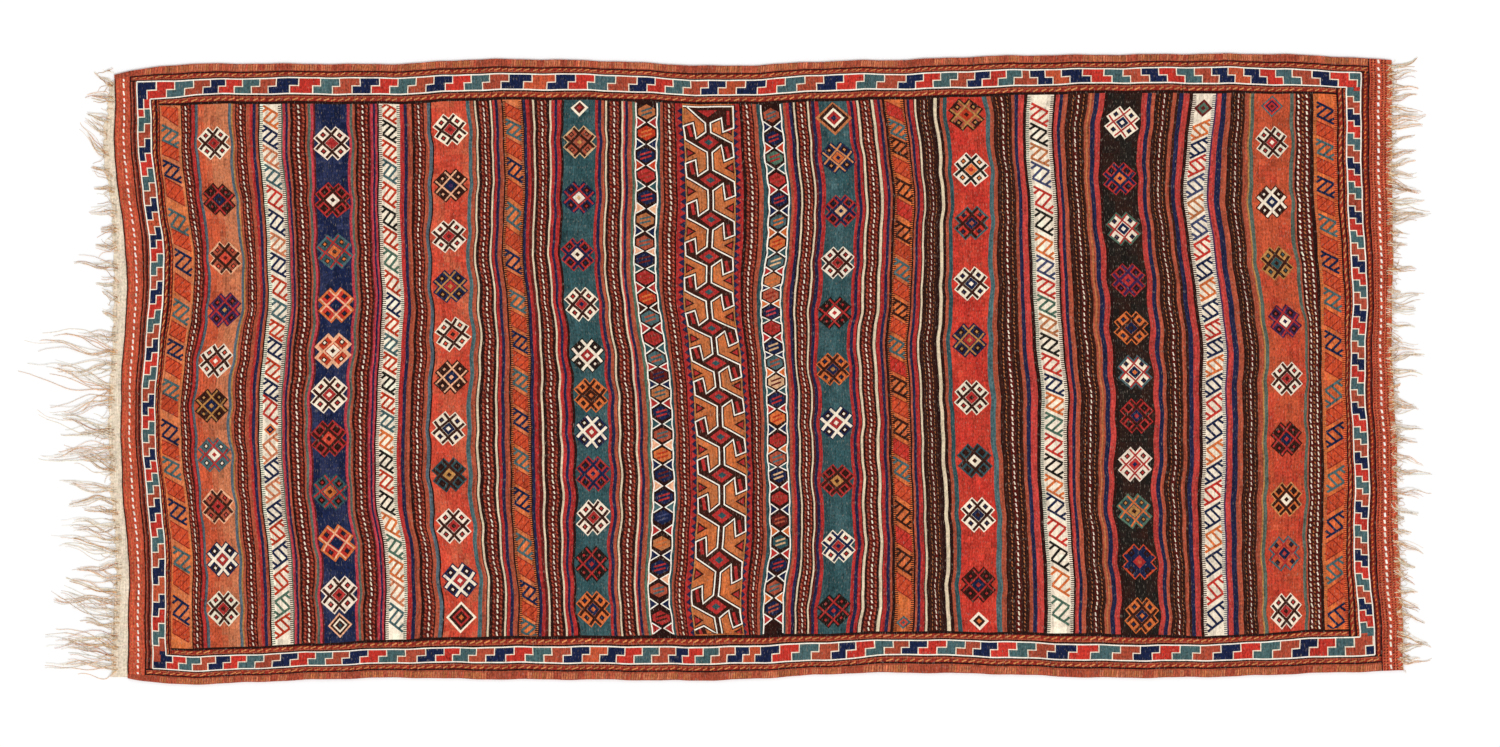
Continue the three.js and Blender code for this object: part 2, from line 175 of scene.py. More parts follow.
# The map from the straight rug to the real one
def through(stations, values, s):
    """A smooth curve through values at falling or rising stations, read at each s."""
    order = np.argsort(stations)
    at = np.asarray(stations, float)[order]
    value = np.asarray(values, float)[order]
    last = len(at) - 1
    below = np.maximum(np.arange(last + 1) - 1, 0)
    above = np.minimum(np.arange(last + 1) + 1, last)
    slope = (value[above] - value[below]) / (at[above] - at[below])
    i = np.clip(np.searchsorted(at, s) - 1, 0, last - 1)
    span = at[i + 1] - at[i]
    t = np.clip((s - at[i]) / span, 0, 1)
    ease = t * t * (3 - 2 * t)
    bend = t * (1 - t) * ((1 - t) * slope[i] - t * slope[i + 1]) * span
    return value[i] * (1 - ease) + value[i + 1] * ease + bend


class Family:
    """A family of lines: the place of each on the straight rug, and its spots at even stations."""

    def __init__(self, places, spots, stations):
        self.places = places
        self.spots = spots
        self.stations = stations

    def at(self, place, other):
        """The spot of a place, other along the lines. It runs on past the outermost lines."""
        i = np.clip(np.searchsorted(self.places, place) - 1, 0, len(self.places) - 2)
        share = (place - self.places[i]) / (self.places[i + 1] - self.places[i])
        first, second = self.stations[:2]
        along = np.clip((other - first) / (second - first), 0, len(self.stations) - 1.001)
        j = along.astype(int)
        t = along - j
        near = self.spots[i, j] * (1 - t) + self.spots[i, j + 1] * t
        far = self.spots[i + 1, j] * (1 - t) + self.spots[i + 1, j + 1] * t
        return near + share * (far - near)


def family(lines, stations, grid):
    places = np.array([place for place, _ in lines.values()])
    return Family(places, np.array([through(stations, spots, grid) for _, spots in lines.values()]), grid)


V_GRID = np.arange(-660, 680, 4.0)
X_GRID = np.arange(-1340, 1341, 10.0)
EDGES = family(EDGE_LINES, LENGTHS, X_GRID)
CENTRES = family(BAND_LINES, HEIGHTS, V_GRID)
EDGE_V = EDGES.places


def plain_spot(u, v):
    """The photo-frame spot of a place, before the fields' edges swing round the medallions."""
    x = CENTRES.at(u, v)
    return x, EDGES.at(v, x)


def closing_in(start, miss):
    """The place that a few corrections of its miss lead to."""
    place = start
    for _ in range(3):
        place += miss(float(place))
    return place


def place_across(u, y):
    """The place v whose spot has height y."""
    return closing_in(y, lambda v: y - float(plain_spot(np.array([u]), np.array([v]))[1][0]))


# Medallions: band, their width and their height at the field's low and high ends, then one row
# each: height Y, outline, fill where it isn't the outline's yarn, arms, centre and eye
MEDALLIONS = {
    "salmon": (64, 74, 66, """461 ivory umber red maroon; 348 umber red navy umber;
        230 peach rust umber coral maroon; 127 plum red navy gold; 26 ivory umber coral ivory;
        -64 umber gold navy gold; -163 greyteal red ivory red; -266 peach rust umber red umber;
        -371 navy ivory red ivory; -470 ivory umber red umber"""),
    "navy": (72, 78, 70, """460 ivory umber red red; 346 red umber ivory umber;
        244 greyteal teal red orange umber; 137 orange scarlet peach navy navy;
        45 peach orangered peach ivory umber; -43 ivory umber red ivory; -130 red umber coral umber;
        -236 teal red orange umber; -339 orange scarlet peach navy navy; -443 ivory umber red umber"""),
    "coral_1": (68, 74, 66, """487 ivory umber red maroon; 376 umber peach navy plum;
        275 ivory umber red maroon; 174 navy gold red gold; 78 ivory umber coral umber;
        -7 umber peach navy peach; -110 ivory umber navy ivory; -203 teal umber gold umber;
        -305 ivory umber red umber; -413 navy ivory red ivory"""),
    "teal_1": (66, 76, 66, """463 tan rust umber rust gold; 352 navy red ivory tan;
        237 red navy ivory umber; 138 ivory umber red navy; 37 black ivory red ivory;
        -43 orange umber umber orange; -117 navy ivory red ivory; -201 red navy coral navy;
        -288 ivory umber red umber; -380 black red navy red; -471 orange umber navy orange"""),
    "teal_2": (66, 70, 66, """431 navy honey orange navy; 325 red navy tan navy;
        222 ivory umber red umber; 121 black red ivory red; 8 orange umber navy gold;
        -98 navy ivory red ivory; -214 red umber gold umber; -346 ivory navy red navy;
        -474 black red navy red"""),
    "coral_2": (69, 74, 68, """517 umber rust gold orangered umber; 407 ivory black orange red;
        301 greyteal scarlet umber navy rust; 180 ivory umber navy ivory; 66 navy gold red gold;
        -48 ivory umber red umber; -174 teal umber ivory umber; -283 ivory umber navy umber;
        -422 umber red navy red"""),
    "black": (67, 74, 66, """502 ivory red navy ivory; 389 red navy orange navy;
        289 green ivory red navy ivory; 187 red plum red plum; 91 orange umber navy umber;
        2 greyteal ivory red navy orange; -85 red umber navy red; -181 ivory red red navy;
        -275 green teal orange gold umber; -377 flame navy navy red rose; -484 orange umber navy orange"""),
    "rust": (63, 74, 66, """462 ivory umber red ivory; 342 umber ivory navy ivory;
        221 gold umber teal umber; 105 plum red ivory plum; -11 ivory umber red umber;
        -131 umber red navy red; -251 honey orange umber ivory umber;
        -360 greyteal rustfield red navy red; -475 ivory umber red umber"""),
}


def medallion_places(band):
    u = BAND_LINES[band][0]
    return [place_across(u, float(row[0])) for row in rows_of(MEDALLIONS[band][-1])]


def swing(band):
    """How far a field's edge line stands out from its mean at each height of V_GRID."""
    if band not in MEDALLIONS:
        return np.zeros(len(V_GRID))
    nearest = np.min([np.abs(V_GRID - v) for v in medallion_places(band)], axis=0)
    return BOW * np.exp(-((nearest / BOW_REACH) ** 2)) - BOW_MEAN * BOW


def guide_lines():
    """Every band's two edge lines and the rug's two ends, and their places u by name."""
    names, places, rows = [], [], []
    for (band, (u, _)), middle in zip(BAND_LINES.items(), CENTRES.spots):
        half = BAND_WIDTHS.get(band, 0) / 2
        for side, end in ((-1, "_left"), (1, "_right")) if half else ((0, ""),):
            names.append(band + end)
            places.append(u + side * half)
            rows.append(middle + side * (half + swing(band)))
    return Family(np.array(places), np.array(rows), V_GRID), dict(zip(names, places))


GUIDES, GUIDE = guide_lines()
GUIDE_U = GUIDES.places

# How the yarn wavers: size, wavelengths along u and v, phase
WAVERS_X = [(0.7, 37, 19, 0), (0.3, -53, 7.3, 2)]
WAVERS_Y = [(0.8, 23, 61, 0), (0.3, 9.7, 83, 1)]


def wavered(place, wavers, u, v):
    for size, long_u, long_v, phase in wavers:
        place = place + size * np.sin(v / long_v + u / long_u + phase)
    return place


def spot(u, v):
    """The photo-frame spots, in millimetres, of places of the straight rug, as unevenly as by hand."""
    x = GUIDES.at(u, v)
    y = EDGES.at(v, x)
    return wavered(x, WAVERS_X, u, v), wavered(y, WAVERS_Y, u, v)


def place_along(x, v):
    """The place u whose spot at height v has length x."""
    return closing_in(x, lambda u: x - float(plain_spot(np.array([u]), np.array([v]))[0][0]))


def photo_shift():
    """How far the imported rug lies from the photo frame, in millimetres."""
    low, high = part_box("woven_rug")
    count = 400
    v = np.linspace(EDGE_V[0], EDGE_V[-1], count)
    u = np.linspace(GUIDE_U[0], GUIDE_U[-1], count)
    left, right = [spot(np.full(count, end), v)[0] for end in (GUIDE_U[0], GUIDE_U[-1])]
    bottom, top = [spot(u, np.full(count, end))[1] for end in (EDGE_V[0], EDGE_V[-1])]
    along = MM * (low.x + high.x) / 2 - (left.min() + right.max()) / 2
    across = MM * (low.y + high.y) / 2 - (bottom.min() + top.max()) / 2
    return along, across


SHIFT = photo_shift()


def undulation(u, v):
    """The gentle rise and fall of the cloth, from 0 to about 1 mm."""
    waves = np.sin(u / 97 + 0.6) * np.sin(v / 71 + 1.1) + SLANTED_SWELL * np.sin(u / 43 + v / 59)
    return SWELL * (waves + (1 + SLANTED_SWELL))


# Runs of stripes: each is a yarn or a pattern, with its width
PATTERNS = {
    # Name: ground yarn, raised yarn, pitch, share of the pitch, slant, share of the width
    "dots": ("oxblood", "ivory", 10.8, 0.66, -0.30, 0.58),
    "end_dots": ("endred", "white", 13.0, 0.60, -0.30, 0.86),
    "red_dash": ("oxblood", "rose", 8.0, 0.74, -0.45, 0.78),
    "gold_dash": ("umber", "ochre", 8.0, 0.60, -0.40, 0.70),
    "rope": ("brick", "honey", 15.0, 0.74, 0.50, 0.48),
    "frame_dash": ("brick", "orange", 9.0, 0.60, 0.40, 0.55),
    "edge_dash": ("endred", "honey", 8.0, 0.50, -0.30, 0.60),
    "back_dash": ("endred", "maroon", 5.0, 0.50, 0.70, 0.75),
}
GROUPS = {
    "chain": "dark 2, red_dash 4, oxblood 1.6, dots 5, oxblood 1.6, red_dash 4, dark 2",
    "brown_chain": """umber 4.4, dark 1.6, gold_dash 3, dark 1.6, umber 3, oxblood 1.4, dots 5,
        oxblood 1.4, umber 3, dark 1.6, gold_dash 3, dark 1.6, umber 4.4""",
    "triple_chain": """dark 2, dots 4.8, oxblood 1.8, gold_dash 3.4, oxblood 1.8, dots 4.8, oxblood 1.6,
        umber 1.6, dark 2""",
}

# From each guide line to the next band, left to right; a group keeps its own shares of its width
GAPS = {
    "left_edge": """umber 2.4, endred 4, edge_dash 2.4, endred 4, edge_dash 2, endred 3.4, end_dots 4.4,
        endred 3, edge_dash 2, endred 6.4, dark 3, rust 3, maroon 3, dark 2.4, rust 2.6, dark 2""",
    "frame_left": "dark 3, rope 5, dark 3.6, frame_dash 3, dark 1.4",
    "orange_1": "ochre 2.2, chain 20, maroon 2, red 6.4, dark 1, line 5.4",
    "salmon": "line 5.4, gold 3, rust 5, chain 20.6, rust 7, red 5.6, indigo 6, rust 5, dark 3",
    "ivory_1": """green 2.4, crimson 5, indigo 4.4, rust 4, dark 2, chain 26, rose 3.4, sage 5, crimson 5,
        maroon 3""",
    "navy": """crimson 5.4, sage 5, rust 4.6, dark 2, chain 25, maroon 2.4, crimson 5, indigo 4,
        crimson 4, dark 3.4""",
    "ivory_2": "red 8, indigo 6.4, rust 9, dark 3, chain 21.4, rust 6.6, line 6, dark 2.6",
    "coral_1": """greyteal 7, rust 7, dark 1.6, bone 3.6, dark 3.4, chain 21, dark 2, bone 3.4, dark 1.4,
        red 5, indigo 5.4, rust 7.4, dark 3""",
    "orange_2": """dark 2, indigo 5, red 6.6, maroon 6, bone 3.7, dark 3.4, chain 21, dark 3.4, bone 3.6,
        red 6, indigo 5, red 7.4, dark 4.6""",
    "teal_1": """red 5, indigo 5.8, rust 5.4, dark 1.4, bone 3.4, dark 2.6, chain 20.6, dark 2.6,
        bone 3.4, rosered 3.4, indigo 5, rust 7.6, green 5, rust 2""",
    "hexagons_1": "teal 5.6, rust 4.6, chain 21.4, red 3.4, tooth_left 9",
    "hooks": "tooth_right 9, red 3.4, dark 3, chain 21.6, rust 7, teal 6.2, dark 2.4",
    "hexagons_2": """teal 5, rust 5, red 5.6, indigo 5.4, dark 2.4, bone 3.4, dark 1.6, chain 19.6,
        dark 1, bone 3.3, maroon 4.6, indigo 6, red 7.4""",
    "teal_2": """red 5, indigo 5.4, red 5, dark 1.6, bone 4.2, dark 1.6, chain 19, dark 1.6, bone 4.7,
        dark 1, red 6, indigo 5, rust 3.6, dark 4.6""",
    "orange_3": """dark 3, rust 3.6, indigo 5, red 7, dark 1.6, bone 3.6, dark 3.4, brown_chain 22.6,
        dark 6, bone 6.1, dark 6, rust 5.6, teal 7.4""",
    "coral_2": "greyteal 9, rust 8, dark 2, brown_chain 36, rust 6, indigo 7, rosered 11, dark 6.4",
    "ivory_3": """dark 4, rosered 7, indigo 6.6, rust 9, dark 3, brown_chain 36, rust 4.4, ochre 3,
        rust 5, indigo 9.4, rosered 10.6, dark 6""",
    "black": """rosered 10, indigo 8, rust 6.6, dark 2, brown_chain 30, rust 7, umber 5, indigo 8,
        rosered 11, dark 6.6""",
    "ivory_4": "purple 3, rosered 8, indigo 9, rust 8.6, dark 2, brown_chain 23, rust 8, gold 2.4, sage 6",
    "rust": "sage 6, rust 3, triple_chain 28, dark 2",
    "orange_4": "dark 3.2, rope 6, dark 3, frame_dash 3, dark 1.8",
    "frame_right": """maroon 3, dark 1.6, frame_dash 5, maroon 2, dark 2.4, endred 1.8, back_dash 3,
        edge_dash 2.6, back_dash 3, endred 2, end_dots 4.4, endred 2, back_dash 3, edge_dash 2.6,
        back_dash 3, edge_dash 2.4, endred 5, ochre 1.6""",
}
FIELD_YARNS = {
    "frame_left": "red", "orange_1": "orange", "salmon": "salmon", "ivory_1": "ivory", "navy": "navy",
    "ivory_2": "ivory", "coral_1": "coral", "orange_2": "orange", "teal_1": "teal", "hexagons_1": "dark",
    "hooks": "orange", "hexagons_2": "dark", "teal_2": "teal", "orange_3": "orange", "coral_2": "scarlet",
    "ivory_3": "ivory", "black": "black", "ivory_4": "ivory", "rust": "rustfield", "orange_4": "orange",
    "frame_right": "red",
}

# Border runs, from the selvedge inwards: rank, yarn or pattern, and width. A lower rank runs over a
# higher one where they cross at a corner.
OUTER_BORDER = [(0, "rust", 12.4), (2, "dark", 2.4), (3, "rope", 5), (4, "rust", 2), (4, "dark", 3)]
INNER_BORDER = [(8, "dark", 3.4), (9, "rust", 2), (9, "rope", 6), (10, "dark", 4.4)]
RIGHT_END_RANK, END_RANK, GUARD_RANK, FRAME_RANK, INNER_RANK, FIELD_RANK = -1, 1, 4, 6, 8, 11
END_BAND = 34  # width of the left end band, which runs the rug's whole height
RIGHT_END_BAND = 46


# Uneven dye of a field: its second yarn, and that yarn's share at the field's left and right edges,
# and what is added at its low and high ends
ABRASH = {
    "salmon": ("rustfield", 1.2, -0.5, 0.15, -0.2), "navy": ("slate", 0.0, 0.0, 0.1, 0.1),
    "coral_1": ("salmon", 0.0, 0.1, 0.0, 0.1), "teal_1": ("greyteal", 0.0, 0.1, 0.2, 0.0),
    "teal_2": ("greyteal", 0.1, 0.1, 0.0, 0.2), "coral_2": ("coral", 0.2, 0.2, 0.0, 0.1),
    "black": ("umber", 0.1, 0.2, 0.1, 0.1), "rust": ("scarlet", 0.1, 0.1, 0.4, -0.2),
    "orange_1": ("salmon", 0.3, 0.3, 0.0, 0.3), "orange_2": ("salmon", 0.3, 0.3, 0.0, 0.0),
    "orange_3": ("rust", 0.2, 0.2, 0.0, 0.0), "orange_4": ("coral", 0.1, 0.3, 0.1, 0.0),
    "hooks": ("ochre", 0.4, 0.4, 0.0, 0.2),
}


def parse_runs(text):
    runs = []
    for item in text.split(","):
        name, width = item.split()
        if name in GROUPS:
            inner = parse_runs(GROUPS[name])
            total = sum(run[1] for run in inner)
            runs += [(n, w * float(width) / total, True) for n, w, _ in inner]
        else:
            runs.append((name, float(width), False))
    return runs


def column_runs():
    """Each stripe across the rug: its two places u, name, rank, and whether it is in a chain."""
    stripes = []
    for (band, text), following in zip(GAPS.items(), list(BAND_LINES)[1:]):
        start = GUIDE[band] if band in GUIDE else GUIDE[band + "_right"]
        end = GUIDE[following] if following in GUIDE else GUIDE[following + "_left"]
        runs = parse_runs(text)
        scale = (end - start) / sum(run[1] for run in runs)
        for name, width, in_chain in runs:
            stripes.append([start, start + scale * width, name, column_rank(start, band), in_chain])
            start += scale * width
        if following in FIELD_YARNS:
            inside = FRAME_RANK if following.startswith("frame") else FIELD_RANK
            stripes.append([end, GUIDE[following + "_right"], FIELD_YARNS[following], inside, False])
    return stripes


def column_rank(u, band):
    if band == "left_edge":
        return END_RANK if u < GUIDE_U[0] + END_BAND else GUARD_RANK
    if band == "frame_right":
        return RIGHT_END_RANK if u > GUIDE_U[-1] - RIGHT_END_BAND else GUARD_RANK
    return INNER_RANK if band in ("frame_left", "orange_4") else FIELD_RANK


def border_rows():
    """Each stripe along the rug, from the bottom up, with the field as one."""
    rows = []

    def fit(runs, start, end):
        scale = (EDGE_AT[end] - EDGE_AT[start]) / sum(width for _, _, width in runs)
        at = EDGE_AT[start]
        for rank, name, width in runs:
            rows.append([at, at + scale * width, name, rank, False])
            at += scale * width

    fit(OUTER_BORDER, "low_edge", "frame_low_outer")
    fit([(FRAME_RANK, "red", 1)], "frame_low_outer", "frame_low_inner")
    fit(INNER_BORDER, "frame_low_inner", "field_bottom")
    fit([(FIELD_RANK + 1, None, 1)], "field_bottom", "field_top")
    fit(INNER_BORDER[::-1], "field_top", "frame_top_inner")
    fit([(FRAME_RANK, "red", 1)], "frame_top_inner", "frame_top_outer")
    fit(OUTER_BORDER[::-1], "frame_top_outer", "top_edge")
    return rows


COLUMNS = column_runs()
ROWS = border_rows()


def reach_of(rank, lines):
    """The span between the outermost lines of a higher rank, which a line of this rank fills."""
    inner = [line for line in lines if line[3] >= rank]
    return min(line[0] for line in inner), max(line[1] for line in inner)


# Meshes
class Piece:
    """Closed shapes on the straight rug, gathered into one mesh."""

    def __init__(self, name, clip=None):
        self.name = name
        self.clip = clip
        self.places = []
        self.faces = []
        self.tones = []
        self.count = 0

    def add(self, places, faces, tones):
        self.places.append(np.asarray(places, float))
        self.faces += [tuple(i + self.count for i in face) for face in faces]
        tones = np.atleast_2d(tones)
        if len(tones) == 1:
            tones = np.repeat(tones, len(faces), axis=0)
        self.tones.append(tones)
        self.count += len(places)

    def add_many(self, places, pattern, tones):
        """places is one block of corners for each copy; pattern lists the faces of one copy."""
        copies, corners = places.shape[:2]
        starts = self.count + corners * np.arange(copies)
        for face in pattern:
            self.faces += [tuple(row) for row in (starts[:, None] + np.array(face)).tolist()]
            self.tones.append(tones)
        self.places.append(places.reshape(-1, 3))
        self.count += copies * corners

    def build(self, material, slot, warp=True, recalculate=True):
        places = np.concatenate(self.places)
        u, v, z = places.T
        if self.clip:
            v = np.clip(v, *self.clip)
        x, y = spot(u, v) if warp else (u, v)
        if warp:
            z = z + undulation(u, v)
        corners = np.column_stack([x + SHIFT[0], y + SHIFT[1], z]) / MM
        mesh = bpy.data.meshes.new(self.name)
        mesh.from_pydata(corners.tolist(), [], self.faces)
        loops = np.zeros(len(mesh.loops), int)
        mesh.loops.foreach_get("vertex_index", loops)
        totals = np.array([len(face) for face in self.faces])
        tones = np.repeat(np.concatenate(self.tones), totals, axis=0)
        dye = mesh.color_attributes.new("dye", "FLOAT_COLOR", "CORNER")
        colours = np.column_stack([tones, np.ones(len(tones))])
        dye.data.foreach_set("color", colours.ravel().astype(np.float32))
        weave = mesh.uv_layers.new(name="weave")
        weave.data.foreach_set("uv", np.column_stack([u, v])[loops].ravel().astype(np.float32))
        mesh.materials.append(material)
        mesh.validate()
        mesh.update()
        if recalculate:
            shape = bmesh.new()
            shape.from_mesh(mesh)
            bmesh.ops.recalc_face_normals(shape, faces=shape.faces)
            shape.to_mesh(mesh)
            shape.free()
        piece = bpy.data.objects.new(self.name, mesh)
        bpy.context.scene.collection.objects.link(piece)
        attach(piece, "root")
        return piece


def left_of(headings):
    return np.column_stack([-headings[:, 1], headings[:, 0]])


def tube_faces(rings, sides):
    """The faces of a closed tube: the walls between its rings, then its two ends."""
    faces = []
    for a in range(0, sides * (rings - 1), sides):
        b = a + sides
        faces += [(a + k, a + (k + 1) % sides, b + (k + 1) % sides, b + k) for k in range(sides)]
    end = sides * (rings - 1)
    return faces + [tuple(range(sides - 1, -1, -1)), tuple(end + k for k in range(sides))]


STITCH_FACES = [(0, 1, 5, 4), (2, 3, 4, 5), (1, 2, 5), (3, 0, 4), (3, 2, 1, 0)]
STITCH_TOP = 0.7  # share of a stitch's length that its ridge has
SHARPEST = 0.62  # how little of a stroke's width may be left at a corner, before the mitre is cut


def stitches(piece, centres, along, half_width, tones, foot, high):
    """Raised stitches with pointed ends: centres and half-lengths on the straight rug."""
    centres = np.atleast_2d(centres).astype(float)
    along = np.broadcast_to(np.asarray(along, float), centres.shape)
    size = np.linalg.norm(along, axis=1, keepdims=True)
    side = left_of(along) / size * np.reshape(half_width, (-1, 1))
    low = np.full((len(centres), 1), foot)
    high = np.full((len(centres), 1), high)
    blocks = np.stack([
        np.hstack([centres - along + side, low]), np.hstack([centres + along + side, low]),
        np.hstack([centres + along - side, low]), np.hstack([centres - along - side, low]),
        np.hstack([centres - STITCH_TOP * along, high]), np.hstack([centres + STITCH_TOP * along, high]),
    ], axis=1)
    piece.add_many(blocks, STITCH_FACES, tones)


def resample(points, step):
    """Points along a line, at most step apart, with its corners kept."""
    out = [points[0]]
    for a, b in zip(points[:-1], points[1:]):
        parts = max(1, int(math.ceil(math.dist(a, b) / step)))
        out += [tuple(np.add(a, np.multiply(np.subtract(b, a), k / parts))) for k in range(1, parts + 1)]
    return np.array(out, float)


def stroke(piece, points, width, yarn, level=0.0, step=12.0, flat=0.82):
    """A raised ribbon of yarn along a line, this many layers over the lowest one."""
    line = resample(points, step)
    ahead = np.diff(line, axis=0)
    ahead /= np.linalg.norm(ahead, axis=1, keepdims=True)
    normal = left_of(ahead)
    before = np.vstack([normal[:1], normal])
    after = np.vstack([normal, normal[-1:]])
    mean = before + after
    length = np.linalg.norm(mean, axis=1, keepdims=True)
    mean /= length
    reach = 1 / np.clip(length / 2, SHARPEST, 1)
    half = width / 2
    low, high = SUNK, MOTIF + LAYER * level
    sections = [(half, low), (flat * half, high), (-flat * half, high), (-half, low)]
    rings = np.stack([
        np.column_stack([line + mean * reach * offset, np.full(len(line), z)]) for offset, z in sections
    ], axis=1)
    tones = np.repeat(dyed(yarn, len(line) - 1, FIGURE_SPREAD), len(sections), axis=0)
    faces = tube_faces(len(line), len(sections))
    piece.add(rings.reshape(-1, 3), faces, np.vstack([tones, tones[:1], tones[-1:]]))


def patch(piece, outline, yarn, level=0.0, inset=0.06):
    """A raised filled figure over an outline, this many layers over the lowest one."""
    outline = np.array(outline, float)
    n = len(outline)
    middle = outline.mean(axis=0)
    top = middle + (outline - middle) * (1 - inset)
    places = np.vstack([
        np.column_stack([outline, np.full(n, SUNK)]),
        np.column_stack([top, np.full(n, MOTIF + LAYER * level)]),
    ])
    faces = [tuple(range(n - 1, -1, -1)), tuple(range(n, 2 * n))]
    faces += [(i, (i + 1) % n, n + (i + 1) % n, n + i) for i in range(n)]
    piece.add(places, faces, dyed(yarn, 1, FIGURE_SPREAD))


# Ground
def column_parts(width):
    if width < FLAT_WIDTH:
        return 1
    return max(2, math.ceil(width / FIELD_STEP))


def row_parts(width):
    return math.ceil(width / ROW_STEP) if width > WIDE_ROW else 2


def ground_yarn(name):
    """The yarn of the ground under a stripe; the field's row takes its yarns from the columns."""
    if name is None or name.startswith("tooth"):
        return "red"
    return PATTERNS[name][0] if name in PATTERNS else name


def split(stripes, parts_of):
    """The ground's lines and their rises, and the yarn and rank of each strip between two lines."""
    edges, rises, yarns, ranks = [stripes[0][0]], [0.0], [], []
    for start, end, name, rank, in_chain in stripes:
        parts = parts_of(end - start)
        for k in range(1, parts + 1):
            edges.append(start + (end - start) * k / parts)
            rises.append((DOME if k < parts else 0.0) + (CHAIN_RISE if in_chain else 0.0))
            yarns.append(DYES[ground_yarn(name)])
            ranks.append(rank)
    return np.array(edges), np.array(rises), np.array(yarns), np.array(ranks)


UNDER_ROWS = 33  # how many of the top's rows one row of the underside spans
UNDER_HIGH = 0.02
WIDE_ROW = 20.0  # a stripe along the rug that is wider than this is cut at every ROW_STEP
ABRASH_WAVE, ABRASH_LONG = 0.2, 47  # size and length of the waves in a field's second yarn
ABRASH_NOISE = 0.12
PATCHY = 0.09  # how much the dye varies from place to place
STREAKY = 0.07  # how much it varies from column to column


def outer_rank(ranks):
    """The rank of each line: the higher of the strips on its two sides."""
    return np.maximum(np.append(ranks, ranks[-1]), np.insert(ranks, 0, ranks[0]))


def abrashed(own, cu, rv, rrank):
    """Changes the ground's dyes to the fields' uneven ones."""
    rows = np.flatnonzero(rrank > FIELD_RANK)
    for band, (yarn, at_left, at_right, at_low, at_high) in ABRASH.items():
        start, end = GUIDE[band + "_left"], GUIDE[band + "_right"]
        columns = np.flatnonzero((cu[:-1] >= start - 0.01) & (cu[1:] <= end + 0.01))
        uu, vv = np.meshgrid((cu[columns] - start) / (end - start), rv[rows])
        rise = (vv - FIELD_LOW) / (FIELD_HIGH - FIELD_LOW)
        share = at_left + (at_right - at_left) * uu + at_low + (at_high - at_low) * rise
        share += ABRASH_WAVE * np.sin(vv / ABRASH_LONG + 5 * uu + len(band))
        share += ABRASH_NOISE * rng.standard_normal(share.shape)
        share = np.clip(share, 0, 1)[..., None]
        block = np.ix_(rows, columns)
        own[block] = own[block] * (1 - share) + DYES[yarn] * share


def underside(index, top):
    """The low corners and the faces of the walls and the underside, under a grid of top corners.

    The underside has every column but few rows, whose end faces take in the rim's spare corners.
    """
    up, across = index.shape
    rim = np.concatenate([index[0, :-1], index[:-1, -1], index[-1, :0:-1], index[:0:-1, 0]])
    foot = len(top) + np.arange(len(rim))
    after = np.roll(np.arange(len(rim)), -1)
    faces = np.column_stack([rim[after], rim, foot, foot[after]]).tolist()
    kept = list(range(0, up - 1, UNDER_ROWS)) + [up - 1]
    inner = index[kept[1:-1], 1:-1].ravel()
    below = np.full(across * up, -1)
    below[rim] = foot
    below[inner] = len(top) + len(rim) + np.arange(len(inner))
    below = below.reshape(up, across)
    low = top[np.concatenate([rim, inner])].copy()
    low[:, 2] = UNDER_HIGH
    for a, b in zip(kept[:-1], kept[1:]):
        for c in range(across - 1):
            left = below[a : b + 1, 0] if c == 0 else below[[a, b], c]
            right = below[a : b + 1, -1] if c == across - 2 else below[[a, b], c + 1]
            faces.append([*left, *right[::-1]])
    return low, faces


def rug_ground():
    """The woven sheet with its stripes, one closed mesh."""
    cu, crise, cdye, crank = split(COLUMNS, column_parts)
    rv, rrise, rdye, rrank = split(ROWS, row_parts)
    across, up = len(cu), len(rv)
    uu, vv = np.meshgrid(cu, rv)
    in_columns = outer_rank(crank)[None, :] < outer_rank(rrank)[:, None]
    rise = np.where(in_columns, crise[None, :], rrise[:, None])
    top = np.column_stack([uu.ravel(), vv.ravel(), (GROUND + rise).ravel()])
    index = np.arange(across * up).reshape(up, across)
    quads = np.stack([index[:-1, :-1], index[:-1, 1:], index[1:, 1:], index[1:, :-1]], axis=-1)
    drift = PATCHY * rng.standard_normal((up - 1, across - 1, 1))
    own = np.where((crank[None, :] < rrank[:, None])[..., None], cdye[None, :, :], rdye[:, None, :])
    streak = 1 + STREAKY * rng.standard_normal((1, across - 1, 1))
    abrashed(own, cu, rv, rrank)
    tones = np.clip(own * (1 + drift) * streak, *TONE_LIMITS).reshape(-1, 3)
    low, hidden = underside(index, top)
    faces = [tuple(int(i) for i in face) for face in quads.reshape(-1, 4).tolist() + hidden]
    piece = Piece("rug_ground")
    piece.add(np.vstack([top, low]), faces, np.vstack([tones, np.tile(DYES["rust"], (len(hidden), 1))]))
    return piece


FOOT_DEPTH = 0.05  # how far inside the ground a stitch's feet stand
STITCH_SPREAD = 0.12  # how much the dye varies from stitch to stitch
UNEVEN = 0.06  # how far a stitch strays from its place, as a share of the pitch


def line_of_stitches(piece, pattern, fixed, start, end, runs_up, width, in_chain=False):
    """Raised dashes along one line of the pattern, up the rug or along it."""
    _, yarn, pitch, share, slant, wide = PATTERNS[pattern]
    count = max(2, int((end - start) / pitch))
    at = start + (np.arange(count) + 0.5) * (end - start) / count
    at = at + UNEVEN * pitch * rng.standard_normal(count)
    half = 0.5 * share * pitch * (1 + 2 * UNEVEN * rng.standard_normal(count))
    across = 0.5 * width * slant
    centres = np.column_stack([np.full(count, fixed), at])
    along = np.column_stack([np.full(count, across), half])
    if not runs_up:
        centres, along = centres[:, ::-1], along[:, ::-1]
    foot = GROUND - FOOT_DEPTH + (CHAIN_RISE if in_chain else 0)
    stitches(piece, centres, along, 0.5 * width * wide, dyed(yarn, count, STITCH_SPREAD), foot, foot + STITCH)


CHAIN_PIECES = 6
BONE_SHARE = 0.9  # share of a bone stripe's width that is raised
BONE_LEVEL = -0.8


